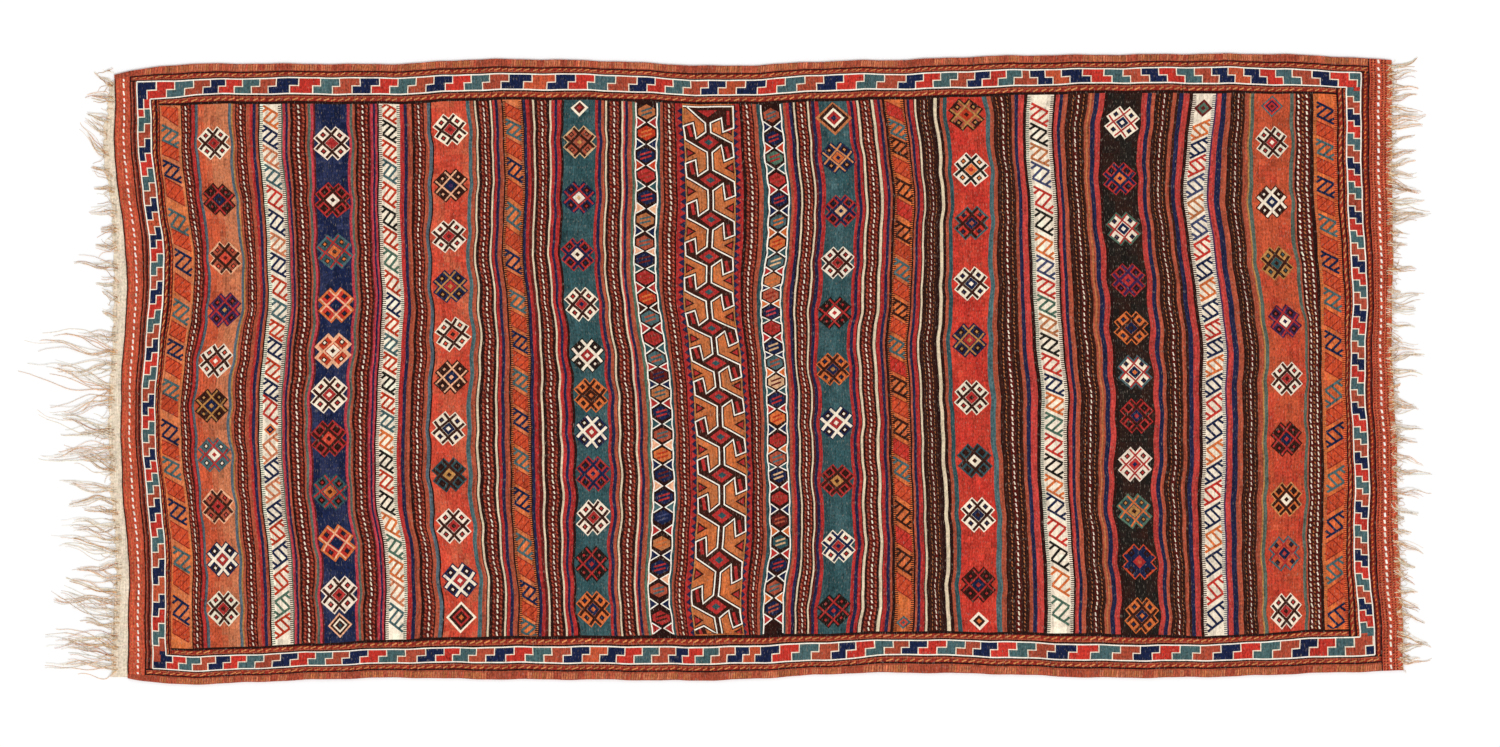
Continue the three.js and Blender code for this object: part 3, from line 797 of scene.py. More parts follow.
def stripe_pieces():
    """The raised stitches of the chains, ropes and dotted lines, in lengthwise groups."""
    pieces = []
    splits = np.linspace(GUIDE_U[0], GUIDE_U[-1], CHAIN_PIECES + 1)
    for k, (low, high) in enumerate(zip(splits[:-1], splits[1:])):
        piece = Piece(f"chain_stitches_{k + 1}")
        for start, end, name, rank, in_chain in COLUMNS:
            middle = (start + end) / 2
            if not low <= middle < high:
                continue
            bottom, top = reach_of(rank if rank == RIGHT_END_RANK else max(rank, 2), ROWS)
            if name in PATTERNS:
                line_of_stitches(piece, name, middle, bottom, top, True, end - start, in_chain)
            if name == "bone":
                line = [(middle, bottom), (middle, top)]
                stroke(piece, line, BONE_SHARE * (end - start), "bone", BONE_LEVEL, 10.0, 0.8)
            if name.startswith("tooth"):
                sawtooth(piece, start, end, name)
        pieces.append(piece)
    return pieces


SAW_PITCH = 15.2
SAW_HALF = 7.2
SAW_END = 6  # how far inside the field the first and last triangles may stand


def sawtooth(piece, start, end, name):
    """Navy triangles along a red stripe, their points away from the hook band."""
    base, point = (end, start) if name == "tooth_left" else (start, end)
    v = FIELD_LOW + SAW_END
    while v < FIELD_HIGH - SAW_END:
        middle = 0.6 * base + 0.4 * point
        waist = 0.7 * SAW_HALF
        corners = [
            (base, v - SAW_HALF), (base, v + SAW_HALF), (middle, v + waist), (point, v), (middle, v - waist),
        ]
        patch(piece, corners, "indigo", -0.3)
        v += SAW_PITCH


def horizontal_stitches():
    """The raised stitches along the rug's two long sides."""
    pieces = []
    for name, low, high in (("low", EDGE_V[0], FIELD_LOW), ("top", FIELD_HIGH, EDGE_V[-1])):
        piece = Piece(name + "_border_stitches")
        for start, end, pattern, rank, _ in ROWS:
            if pattern in PATTERNS and low <= start < high:
                left, right = reach_of(rank, COLUMNS)
                line_of_stitches(piece, pattern, (start + end) / 2, left, right, False, end - start)
        pieces.append(piece)
    return pieces


# Selvedges: bound cords, whose wrapping changes its dye from patch to patch
RIB = 4.6
SELVEDGE_DYES = ["rust", "rose", "salmon", "ochre", "terracotta", "salmon", "rust", "peach"]


# The dye's changes along a selvedge: size, wavelength and phase of each wave, then their share of the
# list of dyes, and the middle of that list
PATCH_WAVES = [(1, 61, 0), (1, 23, 2), (0.6, 9, 0)]
PATCH_REACH, PATCH_MIDDLE = 1.3, 3
SELVEDGE_SPREAD = 0.14
SELVEDGE_START = 3
SELVEDGE_FOOT = GROUND - 0.3
RIB_SHARE = 0.52  # half a rib's width, as a share of the ribs' spacing
RIB_SLANT = 0.6
SELVEDGE_OUT = 1  # how far inside the rug's edge the cord starts


def selvedge(name, edge, inwards, wide):
    piece = Piece(name)
    v_out = edge + inwards * SELVEDGE_OUT
    v_in = v_out + inwards * wide
    u = np.arange(GUIDE_U[0] + SELVEDGE_START, GUIDE_U[-1] - RIGHT_END_BAND, RIB)
    patches = sum(size * np.sin(u / long + phase) for size, long, phase in PATCH_WAVES)
    kinds = np.clip(patches * PATCH_REACH + PATCH_MIDDLE, 0, len(SELVEDGE_DYES) - 1).astype(int)
    tones = np.vstack([dyed(SELVEDGE_DYES[k], 1, SELVEDGE_SPREAD) for k in kinds])
    middle, half = (v_out + v_in) / 2, abs(v_out - v_in) / 2
    centres = np.column_stack([u, np.full(len(u), middle)])
    stitches(piece, centres, (RIB_SLANT, half), RIB_SHARE * RIB, tones, SELVEDGE_FOOT, MOTIF)
    return piece


# Frame of stepped blocks
WHITE_LINE = 2.8
STEP_LINE = 2.4
# The middle of each navy block: length X along the top and the bottom, and height Y up the two ends
TOP_NAVY = [-1214, -1070, -936, -768, -624, -472, -382, -216, 2, 156, 320, 460, 650, 810, 1010, 1150]
LOW_NAVY = [-1170, -1060, -930, -790, -640, -500, -274, -140, 30, 190, 330, 470, 620, 790, 950, 1110]
LEFT_NAVY = [447, 271, 161, 47, -63, -173, -273, -393, -463]
RIGHT_NAVY = [513, 415, 317, 219, 121, 23, -75, -173, -271, -369, -467, -550]
BLOCK_CYCLE = ["navy", "scarlet", "greyteal", "rose"]
TURN_U = 560  # where the top side's blocks start to lean the other way
CORNER_LEG = 25
END_CLEAR = 2  # how far inside the side's ends a step's white line has to stay
# Pitch of the blocks, and how far the step of a block shifts it
LONG_BLOCK = (35, 16)
LEFT_BLOCK = (29, 16)
RIGHT_BLOCK = (24, 11)


def block_starts(navy, pitch, span):
    """Where each block of one side starts, with its yarn: the navy blocks and those between them."""
    out = []
    heading = 1 if span[1] > span[0] else -1
    navy = [place for place in navy if min(span) < place < max(span)]
    start = navy[0] - heading * pitch / 2
    k = 0
    while heading * (start - span[0]) > 0:
        start -= heading * pitch
        k -= 1
        out.insert(0, (start, BLOCK_CYCLE[k % len(BLOCK_CYCLE)]))
    for a, b in zip(navy[:-1], navy[1:]):
        count = max(2, 2 * round(abs(b - a) / pitch / 2))
        shift = -heading * pitch / 2
        for k in range(count):
            odd_one = count % len(BLOCK_CYCLE) and k == count - 1
            yarn = "rustfield" if odd_one else BLOCK_CYCLE[k % len(BLOCK_CYCLE)]
            out.append((a + shift + (b - a) * k / count, yarn))
    start, k = navy[-1] - heading * pitch / 2, 0
    while heading * (span[1] - start) > 0:
        out.append((start, BLOCK_CYCLE[k % len(BLOCK_CYCLE)]))
        start += heading * pitch
        k += 1
    return out + [(start, "red")]


def stepped_side(name, navy, pitch, step, span, reaches, inner, outer, runs_up, turn_at=math.inf):
    """One side of the frame: stepped blocks between two white lines, then the white lines.

    The blocks lean one way before the place turn_at, and the other way after it.
    """
    piece = Piece(name)
    middle = (inner + outer) / 2
    navy = [place_across(middle, at) if runs_up else place_along(at, middle) for at in navy]
    blocks = []
    for at, yarn in block_starts(navy, pitch, span):
        shift = -step if at < turn_at else step
        blocks.append((at - shift / 2, shift, yarn))
    limit = sorted(span)

    def place(along, across):
        along = np.clip(along, *limit)
        return (across, along) if runs_up else (along, across)

    def boundary(at, shift):
        return [place(at, outer), place(at, middle), place(at + shift, middle), place(at + shift, inner)]

    for (start, shift, yarn), (end, end_shift, _) in zip(blocks[:-1], blocks[1:]):
        first, last = boundary(start, shift), boundary(end, end_shift)
        patch(piece, first + last[::-1], yarn, -1.0, 0.0)
        low, high = sorted((start, start + shift))
        if limit[0] + END_CLEAR < low and high < limit[1] - END_CLEAR:
            stroke(piece, first, STEP_LINE, "ivory", 0.2)
    for across, reach in zip((inner, outer), reaches):
        ends = [(across, end) if runs_up else (end, across) for end in reach]
        stroke(piece, ends, WHITE_LINE, "white", 0.4, 14.0)
    return piece


def frame_pieces():
    """The frame's four sides. The white lines of each end at its own or its neighbours' inner corners."""
    left = (GUIDE["frame_left_left"], GUIDE["frame_left_right"])
    right = (GUIDE["frame_right_left"], GUIDE["frame_right_right"])
    top = (EDGE_AT["frame_top_inner"], EDGE_AT["frame_top_outer"])
    low = (EDGE_AT["frame_low_outer"], EDGE_AT["frame_low_inner"])
    along = (left[0], right[1])
    down = (top[0], low[1])
    flat = ((left[1], right[0]), along)
    upright = ((top[1], low[0]), down)
    sides = [
        stepped_side("frame_top", TOP_NAVY, *LONG_BLOCK, along, flat, *top, False, TURN_U),
        stepped_side("frame_bottom", LOW_NAVY, *LONG_BLOCK, along, flat[::-1], *low, False),
        stepped_side("frame_left", LEFT_NAVY, *LEFT_BLOCK, down, upright, *left, True),
        stepped_side("frame_right", RIGHT_NAVY, *RIGHT_BLOCK, down, upright, *right[::-1], True),
    ]
    # The top left corner's navy block has a leg down the left side
    edge, inside, high, foot = left[0] + 1, sum(left) / 2, top[0] + 1, top[0] - CORNER_LEG
    patch(sides[2], [(edge, high), (inside, high), (inside, foot), (edge, foot)], "navy", -0.6)
    stroke(sides[2], [(inside, high), (inside, foot), (edge, foot)], STEP_LINE, "ivory", 0.4)
    return sides


# Medallions: a crossing of four bars with a lobe in each corner. Places in one are (s, t): s runs up
# to the right and t up to the left, and the bars stand at BAR.
BAR = 0.55
ARM_LINE = 6.0
THIN_ARM_LINE = 3.8
THIN_ARMS = ("gold", "honey", "peach", "orange", "red")
ARM_HALF = 0.78
ARM_REACH = 1.34
LOBE_END = 1.45
LOBE_AT = 1.03
LOBE_RING, PALE_LOBE_RING, LOBE_EYE = 0.27, 0.21, 0.11
OUTLINE_WIDE = 0.18
MEDALLION_TURN = 0.05
EYE = 0.17
CENTRE = BAR - 0.12
PALE_OUTLINES = ("ivory", "peach", "tan", "gold", "orange", "greyteal", "green")


def medallion(piece, u, v, wide, tall, outline, fill, arms, centre, eye):
    """One medallion: its crossing with the outline's yarn at the edge, its bars, centre and lobes."""
    reach = LOBE_END + ARM_HALF
    half = (wide / 2 / reach, tall / 2 / reach)
    turn = MEDALLION_TURN * rng.standard_normal()

    def place(s, t):
        a, b = (s - t) * half[0], (s + t) * half[1]
        return u + a + turn * b, v + b - turn * a

    def cross(a, b):
        quarter = [(b, -a), (b, a), (a, a)]
        corners = []
        for _ in range(4):
            corners += quarter
            quarter = [(-t, s) for s, t in quarter]
        return [place(*corner) for corner in corners]

    def square(s, t, r):
        return [place(s + r, t + r), place(s - r, t + r), place(s - r, t - r), place(s + r, t - r)]

    patch(piece, cross(ARM_HALF, LOBE_END), outline, 0.0, 0.03)
    if fill != outline:
        patch(piece, cross(ARM_HALF - OUTLINE_WIDE, LOBE_END - OUTLINE_WIDE), fill, 0.5, 0.03)
    line = THIN_ARM_LINE if arms in THIN_ARMS else ARM_LINE
    for side in (-BAR, BAR):
        stroke(piece, [place(side, -ARM_REACH), place(side, ARM_REACH)], line, arms, 1.2)
        stroke(piece, [place(-ARM_REACH, side), place(ARM_REACH, side)], line, arms, 1.3)
    patch(piece, square(0, 0, CENTRE), centre, 1.4)
    patch(piece, square(0, 0, EYE), eye, 2.0)
    pale = outline in PALE_OUTLINES
    for s, t in ((LOBE_AT, 0), (-LOBE_AT, 0), (0, LOBE_AT), (0, -LOBE_AT)):
        patch(piece, square(s, t, PALE_LOBE_RING if pale else LOBE_RING), "umber" if pale else "dark", 1.2)
        patch(piece, square(s, t, LOBE_EYE), centre if pale else arms, 1.8)


# Single diamonds at the ends of bands: band, sizes, height Y, outline, fill, eye
DIAMONDS = """navy 50 48 -503 peach umber ivory umber teal; coral_1 62 62 -487 ivory umber red umber orange;
    teal_1 36 34 531 ivory maroon red; teal_2 74 68 511 ochre umber ivory red navy;
    coral_2 40 36 -494 ivory umber orange; rust 44 42 535 greyteal scarlet navy red maroon;
    ivory_1 24 24 -113 orange navy orange; orange_3 28 26 -497 greyteal coral greyteal;
    ivory_4 36 34 531 maroon green maroon"""
RING_SHARES = {3: (1, 0.66, 0.28), 5: (1, 0.84, 0.6, 0.42, 0.18)}
LOZENGE_HALF = 0.54  # a little over half, since a patch's top is smaller than its outline


def lozenge(piece, u, v, wide, tall, yarns):
    for k, (yarn, share) in enumerate(zip(yarns, RING_SHARES[len(yarns)])):
        a, b = LOZENGE_HALF * share * wide, LOZENGE_HALF * share * tall
        patch(piece, [(u + a, v), (u, v + b), (u - a, v), (u, v - b)], yarn, 0.6 * k)


# S figures, drawn leaning like a backslash: strokes from one end to the other
S_STROKES = [
    # from u, from v, to u, to v
    (-14, 21, 14, 5), (14, -21, -14, -5),
    (-13, -4, 3, 11), (13, 4, -3, -11),
    (-6, 16, -15, 10), (6, -16, 15, -10),
]
S_BODY = [(-15, 21), (15, 5), (15, -21), (-15, -5)]
S_LINE = 5.2
S_SPACING = 36.0  # the spacing at which a figure has the height drawn above
S_STRETCHES = (0.95, 1.4)

# S figures of each band: size, the height Y from which they lean the other way, their heights, and
# their yarns, which start again where they run out
S_FIGURES = {
    "orange_1": (1.15, None, """523 473 443 403 363 303 267 223 173 123 83 47 11 -33 -63 -117 -153 -189
        -233 -277 -323 -373 -413 -473 -513""",
        "orangered greyteal orangered navy"),
    "ivory_1": (1.05, -151, """513 473 433 393 349 301 257 217 171 127 87 51 7 -33 -73 -151 -193 -233 -277
        -317 -363 -413 -463 -505""",
        """orange navy salmon greyteal scarlet navy salmon navy orangered greyteal orangered navy
        orangered navy scarlet salmon navy salmon navy orangered navy orangered green orangered"""),
    "ivory_2": (0.98, None, """521 483 443 403 357 311 271 227 181 137 97 57 20 -20 -59 -95 -135 -176 -216
        -259 -303 -347 -391 -437 -487""",
        """orangered black orangered greyteal orangered black orangered green orangered navy orangered
        greyteal orangered black orangered greyteal orange black orangered black orange green orange
        salmon greyteal"""),
    "orange_2": (1.05, None, """521 487 449 407 363 315 267 223 183 143 103 63 25 -13 -53 -93 -133 -173
        -213 -253 -299 -345 -391 -437 -475 -511""",
        "orangered greyteal orangered navy"),
    "orange_3": (1.08, None, """523 487 451 411 367 327 283 247 207 167 127 91 52 13 -27 -67 -109 -151
        -191 -235 -283 -331 -377 -425""",
        """red greyteal umber orangered umber red umber orangered greyteal orangered umber orangered
        greyteal red umber orangered umber red greyteal orangered umber red umber orangered"""),
    "ivory_3": (1.25, None, """517 477 437 397 347 303 255 213 173 135 97 57 17 -23 -60 -101 -143 -184
        -226 -266 -316 -366 -416 -473""",
        """scarlet black ochre slate scarlet black orange slate scarlet green ochre black scarlet navy
        orange green scarlet black orange navy scarlet black orange green"""),
    "ivory_4": (1.15, 487, """487 451 415 375 333 291 251 209 169 127 88 52 15 -24 -66 -113 -157 -197
        -238 -284 -331 -379 -433 -486""",
        """orange navy scarlet slate ochre slate scarlet navy orange navy scarlet navy orange navy scarlet
        navy orange navy scarlet navy orange navy scarlet navy"""),
    "orange_4": (1.2, -39, """520 483 447 411 373 336 297 259 223 185 147 104 59 14 -39 -80 -122 -165
        -211 -256 -302 -347 -393 -438 -488""",
        "navy orangered greyteal orangered"),
}
S_FILLS = {"orangered": "flame", "red": "scarlet"}
S_EDGE_SHARE = 0.42  # width of the lines that edge a filled figure, as a share of S_LINE


def s_figure(piece, u, v, size, stretch, yarn, lean, fill):
    def place(a, b):
        return u + lean * size * a, v + stretch * b

    if fill:
        patch(piece, [place(*corner) for corner in S_BODY], fill, -0.6)
    line, width = ("brick", S_EDGE_SHARE * S_LINE) if fill else (yarn, S_LINE)
    for a, b, c, d in S_STROKES:
        stroke(piece, [place(a, b), place(c, d)], width, line, 0.2)


def s_band(band):
    """A band's S figures, and its comb teeth where it has them."""
    piece = Piece(band + "_figures", (FIELD_LOW + 1, FIELD_HIGH - 1))
    u = BAND_LINES[band][0]
    size, turned_from, heights, yarns = S_FIGURES[band]
    fills = S_FILLS if band.startswith("orange") else {}
    heights = [float(y) for y in heights.split()]
    places = np.array([place_across(u, y) for y in heights])
    stretches = np.clip(-np.gradient(places) / S_SPACING, *S_STRETCHES)
    for y, v, stretch, yarn in zip(heights, places, stretches, itertools.cycle(yarns.split())):
        lean = -1 if turned_from is not None and y <= turned_from else 1
        s_figure(piece, u, v, size, stretch, yarn, lean, fills.get(yarn))
    if band in TEETH:
        comb_teeth(piece, band, *TEETH[band])
    return piece


TOOTH_PITCH = 4.2
TOOTH = 6.6
TOOTH_HALF = 1.15
TOOTH_SLANT = 0.2
TOOTH_FOOT, TOOTH_TOP = GROUND - FOOT_DEPTH, GROUND + 0.8
TEETH = {
    # band: yarns of the teeth at its left and right edges
    "ivory_1": ("green", "umber"), "ivory_2": ("umber", "green"), "ivory_3": ("green", "umber"),
    "ivory_4": ("umber", "line"), "orange_2": ("umber", "dark"), "orange_3": ("umber", "dark"),
    "orange_4": ("ochre", "brick"),
}


def comb_teeth(piece, band, left_yarn, right_yarn):
    """The fine dark teeth along an ivory band's edges."""
    v = np.arange(FIELD_LOW + 3, FIELD_HIGH - 2, TOOTH_PITCH)
    for side, yarn in ((-1, left_yarn), (1, right_yarn)):
        u = BAND_LINES[band][0] + side * (BAND_WIDTHS[band] / 2 - TOOTH / 2)
        centres = np.column_stack([np.full(len(v), u), v])
        tones = dyed(yarn, len(v), STITCH_SPREAD)
        stitches(piece, centres, (TOOTH / 2, TOOTH_SLANT), TOOTH_HALF, tones, TOOTH_FOOT, TOOTH_TOP)


def medallion_band(band):
    """A field's medallions, whose height changes evenly from its low end to its high end."""
    piece = Piece(band + "_figures", (FIELD_LOW + 1, FIELD_HIGH - 1))
    u = BAND_LINES[band][0]
    wide, tall_low, tall_high, text = MEDALLIONS[band]
    for height, outline, *others in rows_of(text):
        v = place_across(u, float(height))
        tall = tall_low + (tall_high - tall_low) * (v - FIELD_LOW) / (FIELD_HIGH - FIELD_LOW)
        fill = [] if len(others) == 4 else [outline]
        medallion(piece, u, v, wide, tall, outline, *fill, *others)
    return piece


# Hexagon bands: height Y, the hexagon's yarn and its bars' yarn, then the triangles below it
HEXAGONS = {
    "hexagons_1": """523 ochre greyteal red; 481 orangered orange navy; 437 navy red orangered;
        397 red brick teal; 353 navy red peach; 307 ochre greyteal navy; 261 rust greyteal peach;
        227 navy maroon teal; 191 red brick red; 151 orangered orange umber; 111 greyteal rust red;
        71 red brick teal; 31 greyteal rust red; -3 maroon indigo navy; -39 ochre greyteal red;
        -79 navy red teal; -123 rust greyteal peach; -163 orange orangered navy; -203 navy maroon peach;
        -247 navy red greyteal; -287 navy slate red; -339 ochre orange navy; -387 navy red peach;
        -433 rust greyteal navy; -489 red umber red""",
    "hexagons_2": """517 rust greyteal navy; 471 navy red orangered; 431 green red teal;
        387 red brick red; 347 navy red navy; 303 greyteal orange orange; 261 orange orangered teal;
        223 greyteal tan red; 187 ochre orange navy; 157 rust brick orange; 123 indigo crimson teal;
        91 red brick red; 53 navy tan navy; 21 greyteal rust orange; -17 tan maroon teal;
        -53 navy red red; -89 orange orangered navy; -133 red brick orange; -169 rust greyteal teal;
        -203 navy tan red; -249 red brick navy; -293 maroon rust orange; -337 teal tan red;
        -383 navy red navy; -429 rust greyteal orange; -470 navy rust red""",
}
HEX_HALF = 15.5  # a hexagon's half length across the rug
HEX_SIDE = 6  # half length of its straight sides
HEX_MARGIN = 3.4  # between its straight sides and the band's edge
HEX_BAR = 4.2  # width of its two bars, and how far they lie from its middle
HEX_BAR_SLOPE = 3.4
HEX_BAR_REACH = 0.62
TRIANGLE_POINT = 3.2  # how far a triangle's point stays off the band's middle
TRIANGLE_MARGIN = 1.5
TRIANGLE_HALF = 11.0  # half length of its base, where the hexagons leave that much room
TRIANGLE_CLEAR = 9
TRIANGLE_LINE = 2.6
SCALLOP_OUT, SCALLOP_IN = 0.6, -1.0  # where the white edge line swings to, from the band's edge
SCALLOP_LINE = 3.0
LAST_SPACING = 42


def hexagon_band(band):
    """Hexagons with two bars each, triangles between them, and a scalloped white line on both sides."""
    piece = Piece(band + "_figures", (FIELD_LOW + 2, FIELD_HIGH - 2))
    u = BAND_LINES[band][0]
    half = BAND_WIDTHS[band] / 2
    table = [[place_across(u, float(row[0]))] + row[1:] for row in rows_of(HEXAGONS[band])]
    edge = []
    for k, (v, yarn, bars, below) in enumerate(table):
        w = half - HEX_MARGIN
        high, low = v + HEX_SIDE, v - HEX_SIDE
        right, left = [(u + w, low), (u + w, high)], [(u - w, high), (u - w, low)]
        patch(piece, [*right, (u, v + HEX_HALF), *left, (u, v - HEX_HALF)], yarn, -0.3)
        for rise in (-HEX_BAR, HEX_BAR):
            bar = [(u + side * HEX_BAR_REACH * w, v + rise + side * HEX_BAR_SLOPE) for side in (-1, 1)]
            stroke(piece, bar, HEX_BAR, bars, 0.4)
        following = table[k + 1][0] if k + 1 < len(table) else v - LAST_SPACING
        cross = (v + following) / 2
        edge += [(SCALLOP_OUT, high), (SCALLOP_OUT, low), (SCALLOP_IN, cross)]
        reach = min(TRIANGLE_HALF, (v - following) / 2 - TRIANGLE_CLEAR)
        for side in (-1, 1):
            outer = u + side * (half - TRIANGLE_MARGIN)
            point = u + side * TRIANGLE_POINT
            corners = [(outer, cross + reach), (point, cross), (outer, cross - reach)]
            patch(piece, corners, below, 0.0)
            stroke(piece, corners, TRIANGLE_LINE, "white", 0.5)
    edge = [(0, FIELD_HIGH - 1)] + edge + [(0, FIELD_LOW + 1)]
    for side in (-1, 1):
        points = [(u + side * (half + out), v) for out, v in edge if FIELD_LOW < v < FIELD_HIGH]
        stroke(piece, points, SCALLOP_LINE, "white", 0.6)
    return piece


# Hook band: heights Y of the red diamonds. The left side of one unit, from the top down; the right
# side is its half turn.
HOOK_HEIGHTS = [463, 387, 307, 233, 163, 91, 21, -47, -127, -203, -283, -373, -467, -545]
HOOK_SIDE = [(-5, 20), (-25, 6), (-29, 37), (-49, 29), (-47, 3), (-5, -19)]
HOOK_LINE = 3.0
HOOK_SPACING = 74.0  # the spacing at which a unit has the height drawn above
HOOK_MARGIN = 5.2  # how much wider the dark line under a white one is
HOOK_DIAMOND = (62, 42)
# One arm of a unit, which its half turn repeats: the red bar's two ends
HOOK_BAR = [(34, -9), (39, -31)]
# Its triangles: point and base from the middle line, half the base's length, yarn, layer
HOOK_TRIANGLES = [(27, 47, 11, "umber", -0.6), (33, 45, 6.4, "red", 0.0)]
HOOK_TRIANGLE_RISE = 23
HOOK_NECK = 4  # half width of the dark neck between two units
HOOK_NECK_END = 16
HOOK_BAR_LINE = 7.6
HOOK_CUT = 12  # how far outside the field the zigzag lines' points are kept, to be cut off there
GOLD_LINE = 2.2

# The unit cut off by the top border: its left and right lines, with v below the field's top
TOP_LEFT = [(-42, -5), (-5, -37)]
TOP_RIGHT = [(-49, -5), (51, -5), (50, -48), (29, -56), (27, -28), (5, -37)]
TOP_TRIANGLE = [(-22, -12), (20, -12), (0, -26)]
TOP_BAR = [(40, -14), (40, -42)]


def hook_band():
    """Hooked units down the middle band, between two zigzag white lines on dark ones."""
    piece = Piece("hook_figures", (FIELD_LOW + 2.5, FIELD_HIGH - 2.5))
    u = BAND_LINES["hooks"][0]

    def placed(points, v, stretch=1.0, turned=1):
        return [(u + turned * a, v + turned * stretch * b) for a, b in points]

    lines = {-1: placed(TOP_LEFT, FIELD_HIGH), 1: placed(TOP_RIGHT, FIELD_HIGH)}
    patch(piece, lines[-1] + lines[1][:0:-1], "umber", -1.0, 0.0)
    patch(piece, placed(TOP_TRIANGLE, FIELD_HIGH), "red", 0.0)
    stroke(piece, placed(TOP_BAR, FIELD_HIGH), 7.0, "red", 0.2)
    heights = np.array([place_across(u, float(y)) for y in HOOK_HEIGHTS])
    for v, stretch in zip(heights, -np.gradient(heights) / HOOK_SPACING):
        left = placed(HOOK_SIDE, v, stretch)
        right = placed(HOOK_SIDE[::-1], v, stretch, -1)
        lines[-1] += left
        lines[1] += right
        patch(piece, left + right[::-1], "umber", -1.0, 0.0)
        lozenge(piece, u, v, HOOK_DIAMOND[0], HOOK_DIAMOND[1] * stretch, ["umber", "red", "teal"])
        for side in (-1, 1):
            stroke(piece, placed(HOOK_BAR, v, stretch, side), HOOK_BAR_LINE, "red", 0.2)
            for point, base, half, yarn, level in HOOK_TRIANGLES:
                low, middle, high = (HOOK_TRIANGLE_RISE + shift * side * half for shift in (-1, 0, 1))
                corners = [(base, high), (point, middle), (base, low)]
                patch(piece, placed(corners, v, stretch, side), yarn, level)
    highs = [FIELD_HIGH + TOP_LEFT[-1][1] + HOOK_NECK_END] + list(heights)
    for above, below in zip(highs[:-1], highs[1:]):
        high, low = above - HOOK_NECK_END, below + HOOK_NECK_END
        neck = [(u - HOOK_NECK, low), (u + HOOK_NECK, low), (u + HOOK_NECK, high), (u - HOOK_NECK, high)]
        patch(piece, neck, "umber", -1.0, 0.0)
    for line in lines.values():
        kept = [p for p in line if FIELD_LOW - HOOK_CUT < p[1] < FIELD_HIGH + HOOK_CUT]
        stroke(piece, kept, HOOK_LINE + HOOK_MARGIN, "umber", -0.4)
        stroke(piece, kept, HOOK_LINE, "white", 0.8)
    for side in (-1, 1):
        at = u + side * (BAND_WIDTHS["hooks"] / 2 - 1)
        stroke(piece, [(at, FIELD_LOW + 3), (at, FIELD_HIGH - 3)], GOLD_LINE, "gold", 0.0)
    return piece


def lone_diamonds():
    piece = Piece("end_diamonds", (FIELD_LOW + 1, FIELD_HIGH - 1))
    for band, wide, tall, y, *yarns in rows_of(DIAMONDS):
        u = BAND_LINES[band][0]
        lozenge(piece, u, place_across(u, float(y)), float(wide), float(tall), yarns)
    return piece


# Fringes, drawn in the photo frame: height Y of the root, reach along X, rise of the tip along Y
TUFTS_LEFT = numbers_of("""
    577 30 22; 547 44 14; 507 36 16; 477 40 30; 437 62 44; 397 30 14; 367 30 6; 323 46 8; 291 24 0;
    257 36 -6; 211 76 22; 177 34 10; 147 28 10; 111 24 6; 75 68 -8; 43 176 -8; 15 110 -4; -29 182 6;
    -52 120 4; -109 154 2; -127 100 0; -149 158 2; -169 60 -2; -193 104 12; -233 108 26; -257 84 6;
    -277 60 0; -303 108 -16; -331 90 -4; -357 130 0; -385 60 4; -409 90 0; -437 100 6; -457 132 18;
    -480 134 22; -504 70 6; -526 92 -6; -549 140 -2; -569 120 -4; -589 130 -8
""")
TUFTS_RIGHT = numbers_of("""
    612 54 14; 593 50 12; 571 52 6; 549 50 4; 531 62 6; 511 68 0; 495 62 -6; 457 50 6; 437 54 0; 415 52 4;
    400 52 -6; 383 60 -6; 367 50 -8; 347 62 -14; 327 72 -16; 305 76 -6; 285 34 -8; 261 30 -4; 207 46 4;
    167 20 0; 147 64 -2; 127 48 -4; 97 46 -4; 77 26 -8; 47 60 0; 27 66 -4; 5 60 -8; -23 16 0; -51 54 -6;
    -71 42 0; -109 54 10; -137 42 -2; -163 52 -24; -189 66 -24; -233 66 -26; -263 40 -22; -293 14 0;
    -313 26 -8; -339 52 -12; -371 34 -10; -395 36 -14; -433 34 -8; -453 40 -12; -477 48 -16; -521 62 -8;
    -549 46 -4; -571 56 -10
""")
SKIRT_LEFT = [-1282, -1294, -1278, -1273, -1273, -1276, -1282, -1282, -1276, -1268, -1270, -1276]
STRAND_SIDES = 4
STRAND_STEPS = 16
WISP_STEPS = 7
ROOT_DEPTH = 9.0  # how far inside the edge a strand starts
EDGE_TOP = 3.0  # height of the cloth's top at its edge
DROP_REACH = 14.0  # how far outside the edge a strand comes down to the floor
# What is drawn at random for a tuft's strands and for a wisp: depths as shares of ROOT_DEPTH, lengths
# as shares of the tuft's or of the longest wisp's, angles in radians, widths in millimetres
TUFT = {
    "curl": (-0.5, 0.5), "depth": (0.3, 1.5), "length": (0.45, 1.0), "drawn": (0.6, 1.0), "root": (1.2, 1.8),
    "tip": (0.5, 0.9),
}
WISP = {"depth": (0.2, 1.4), "length": (0.1, 1), "heading": (-0.6, 0.6), "curl": (-1.2, 1.2)}
WISP_WIDTHS = (1.3, 0.6)
WISP_LIFT = 0.2
# Spreads of a strand's root, heading and curl, and how much a line sways
ROOT_SPREAD, HEADING_SPREAD, CURL_SPREAD = 1.2, 0.22, 0.5
TUFT_SWAY, SWAY = 0.28, 0.3
WISP_HEIGHTS = (-592, 610)
TUFT_SLACK = 1.06  # a strand's length, as a share of the straight way to its tip
LOWEST = 0.15  # height of the lowest strands over the floor
STRAND_LAYER = 0.8  # rise of each further layer of strands


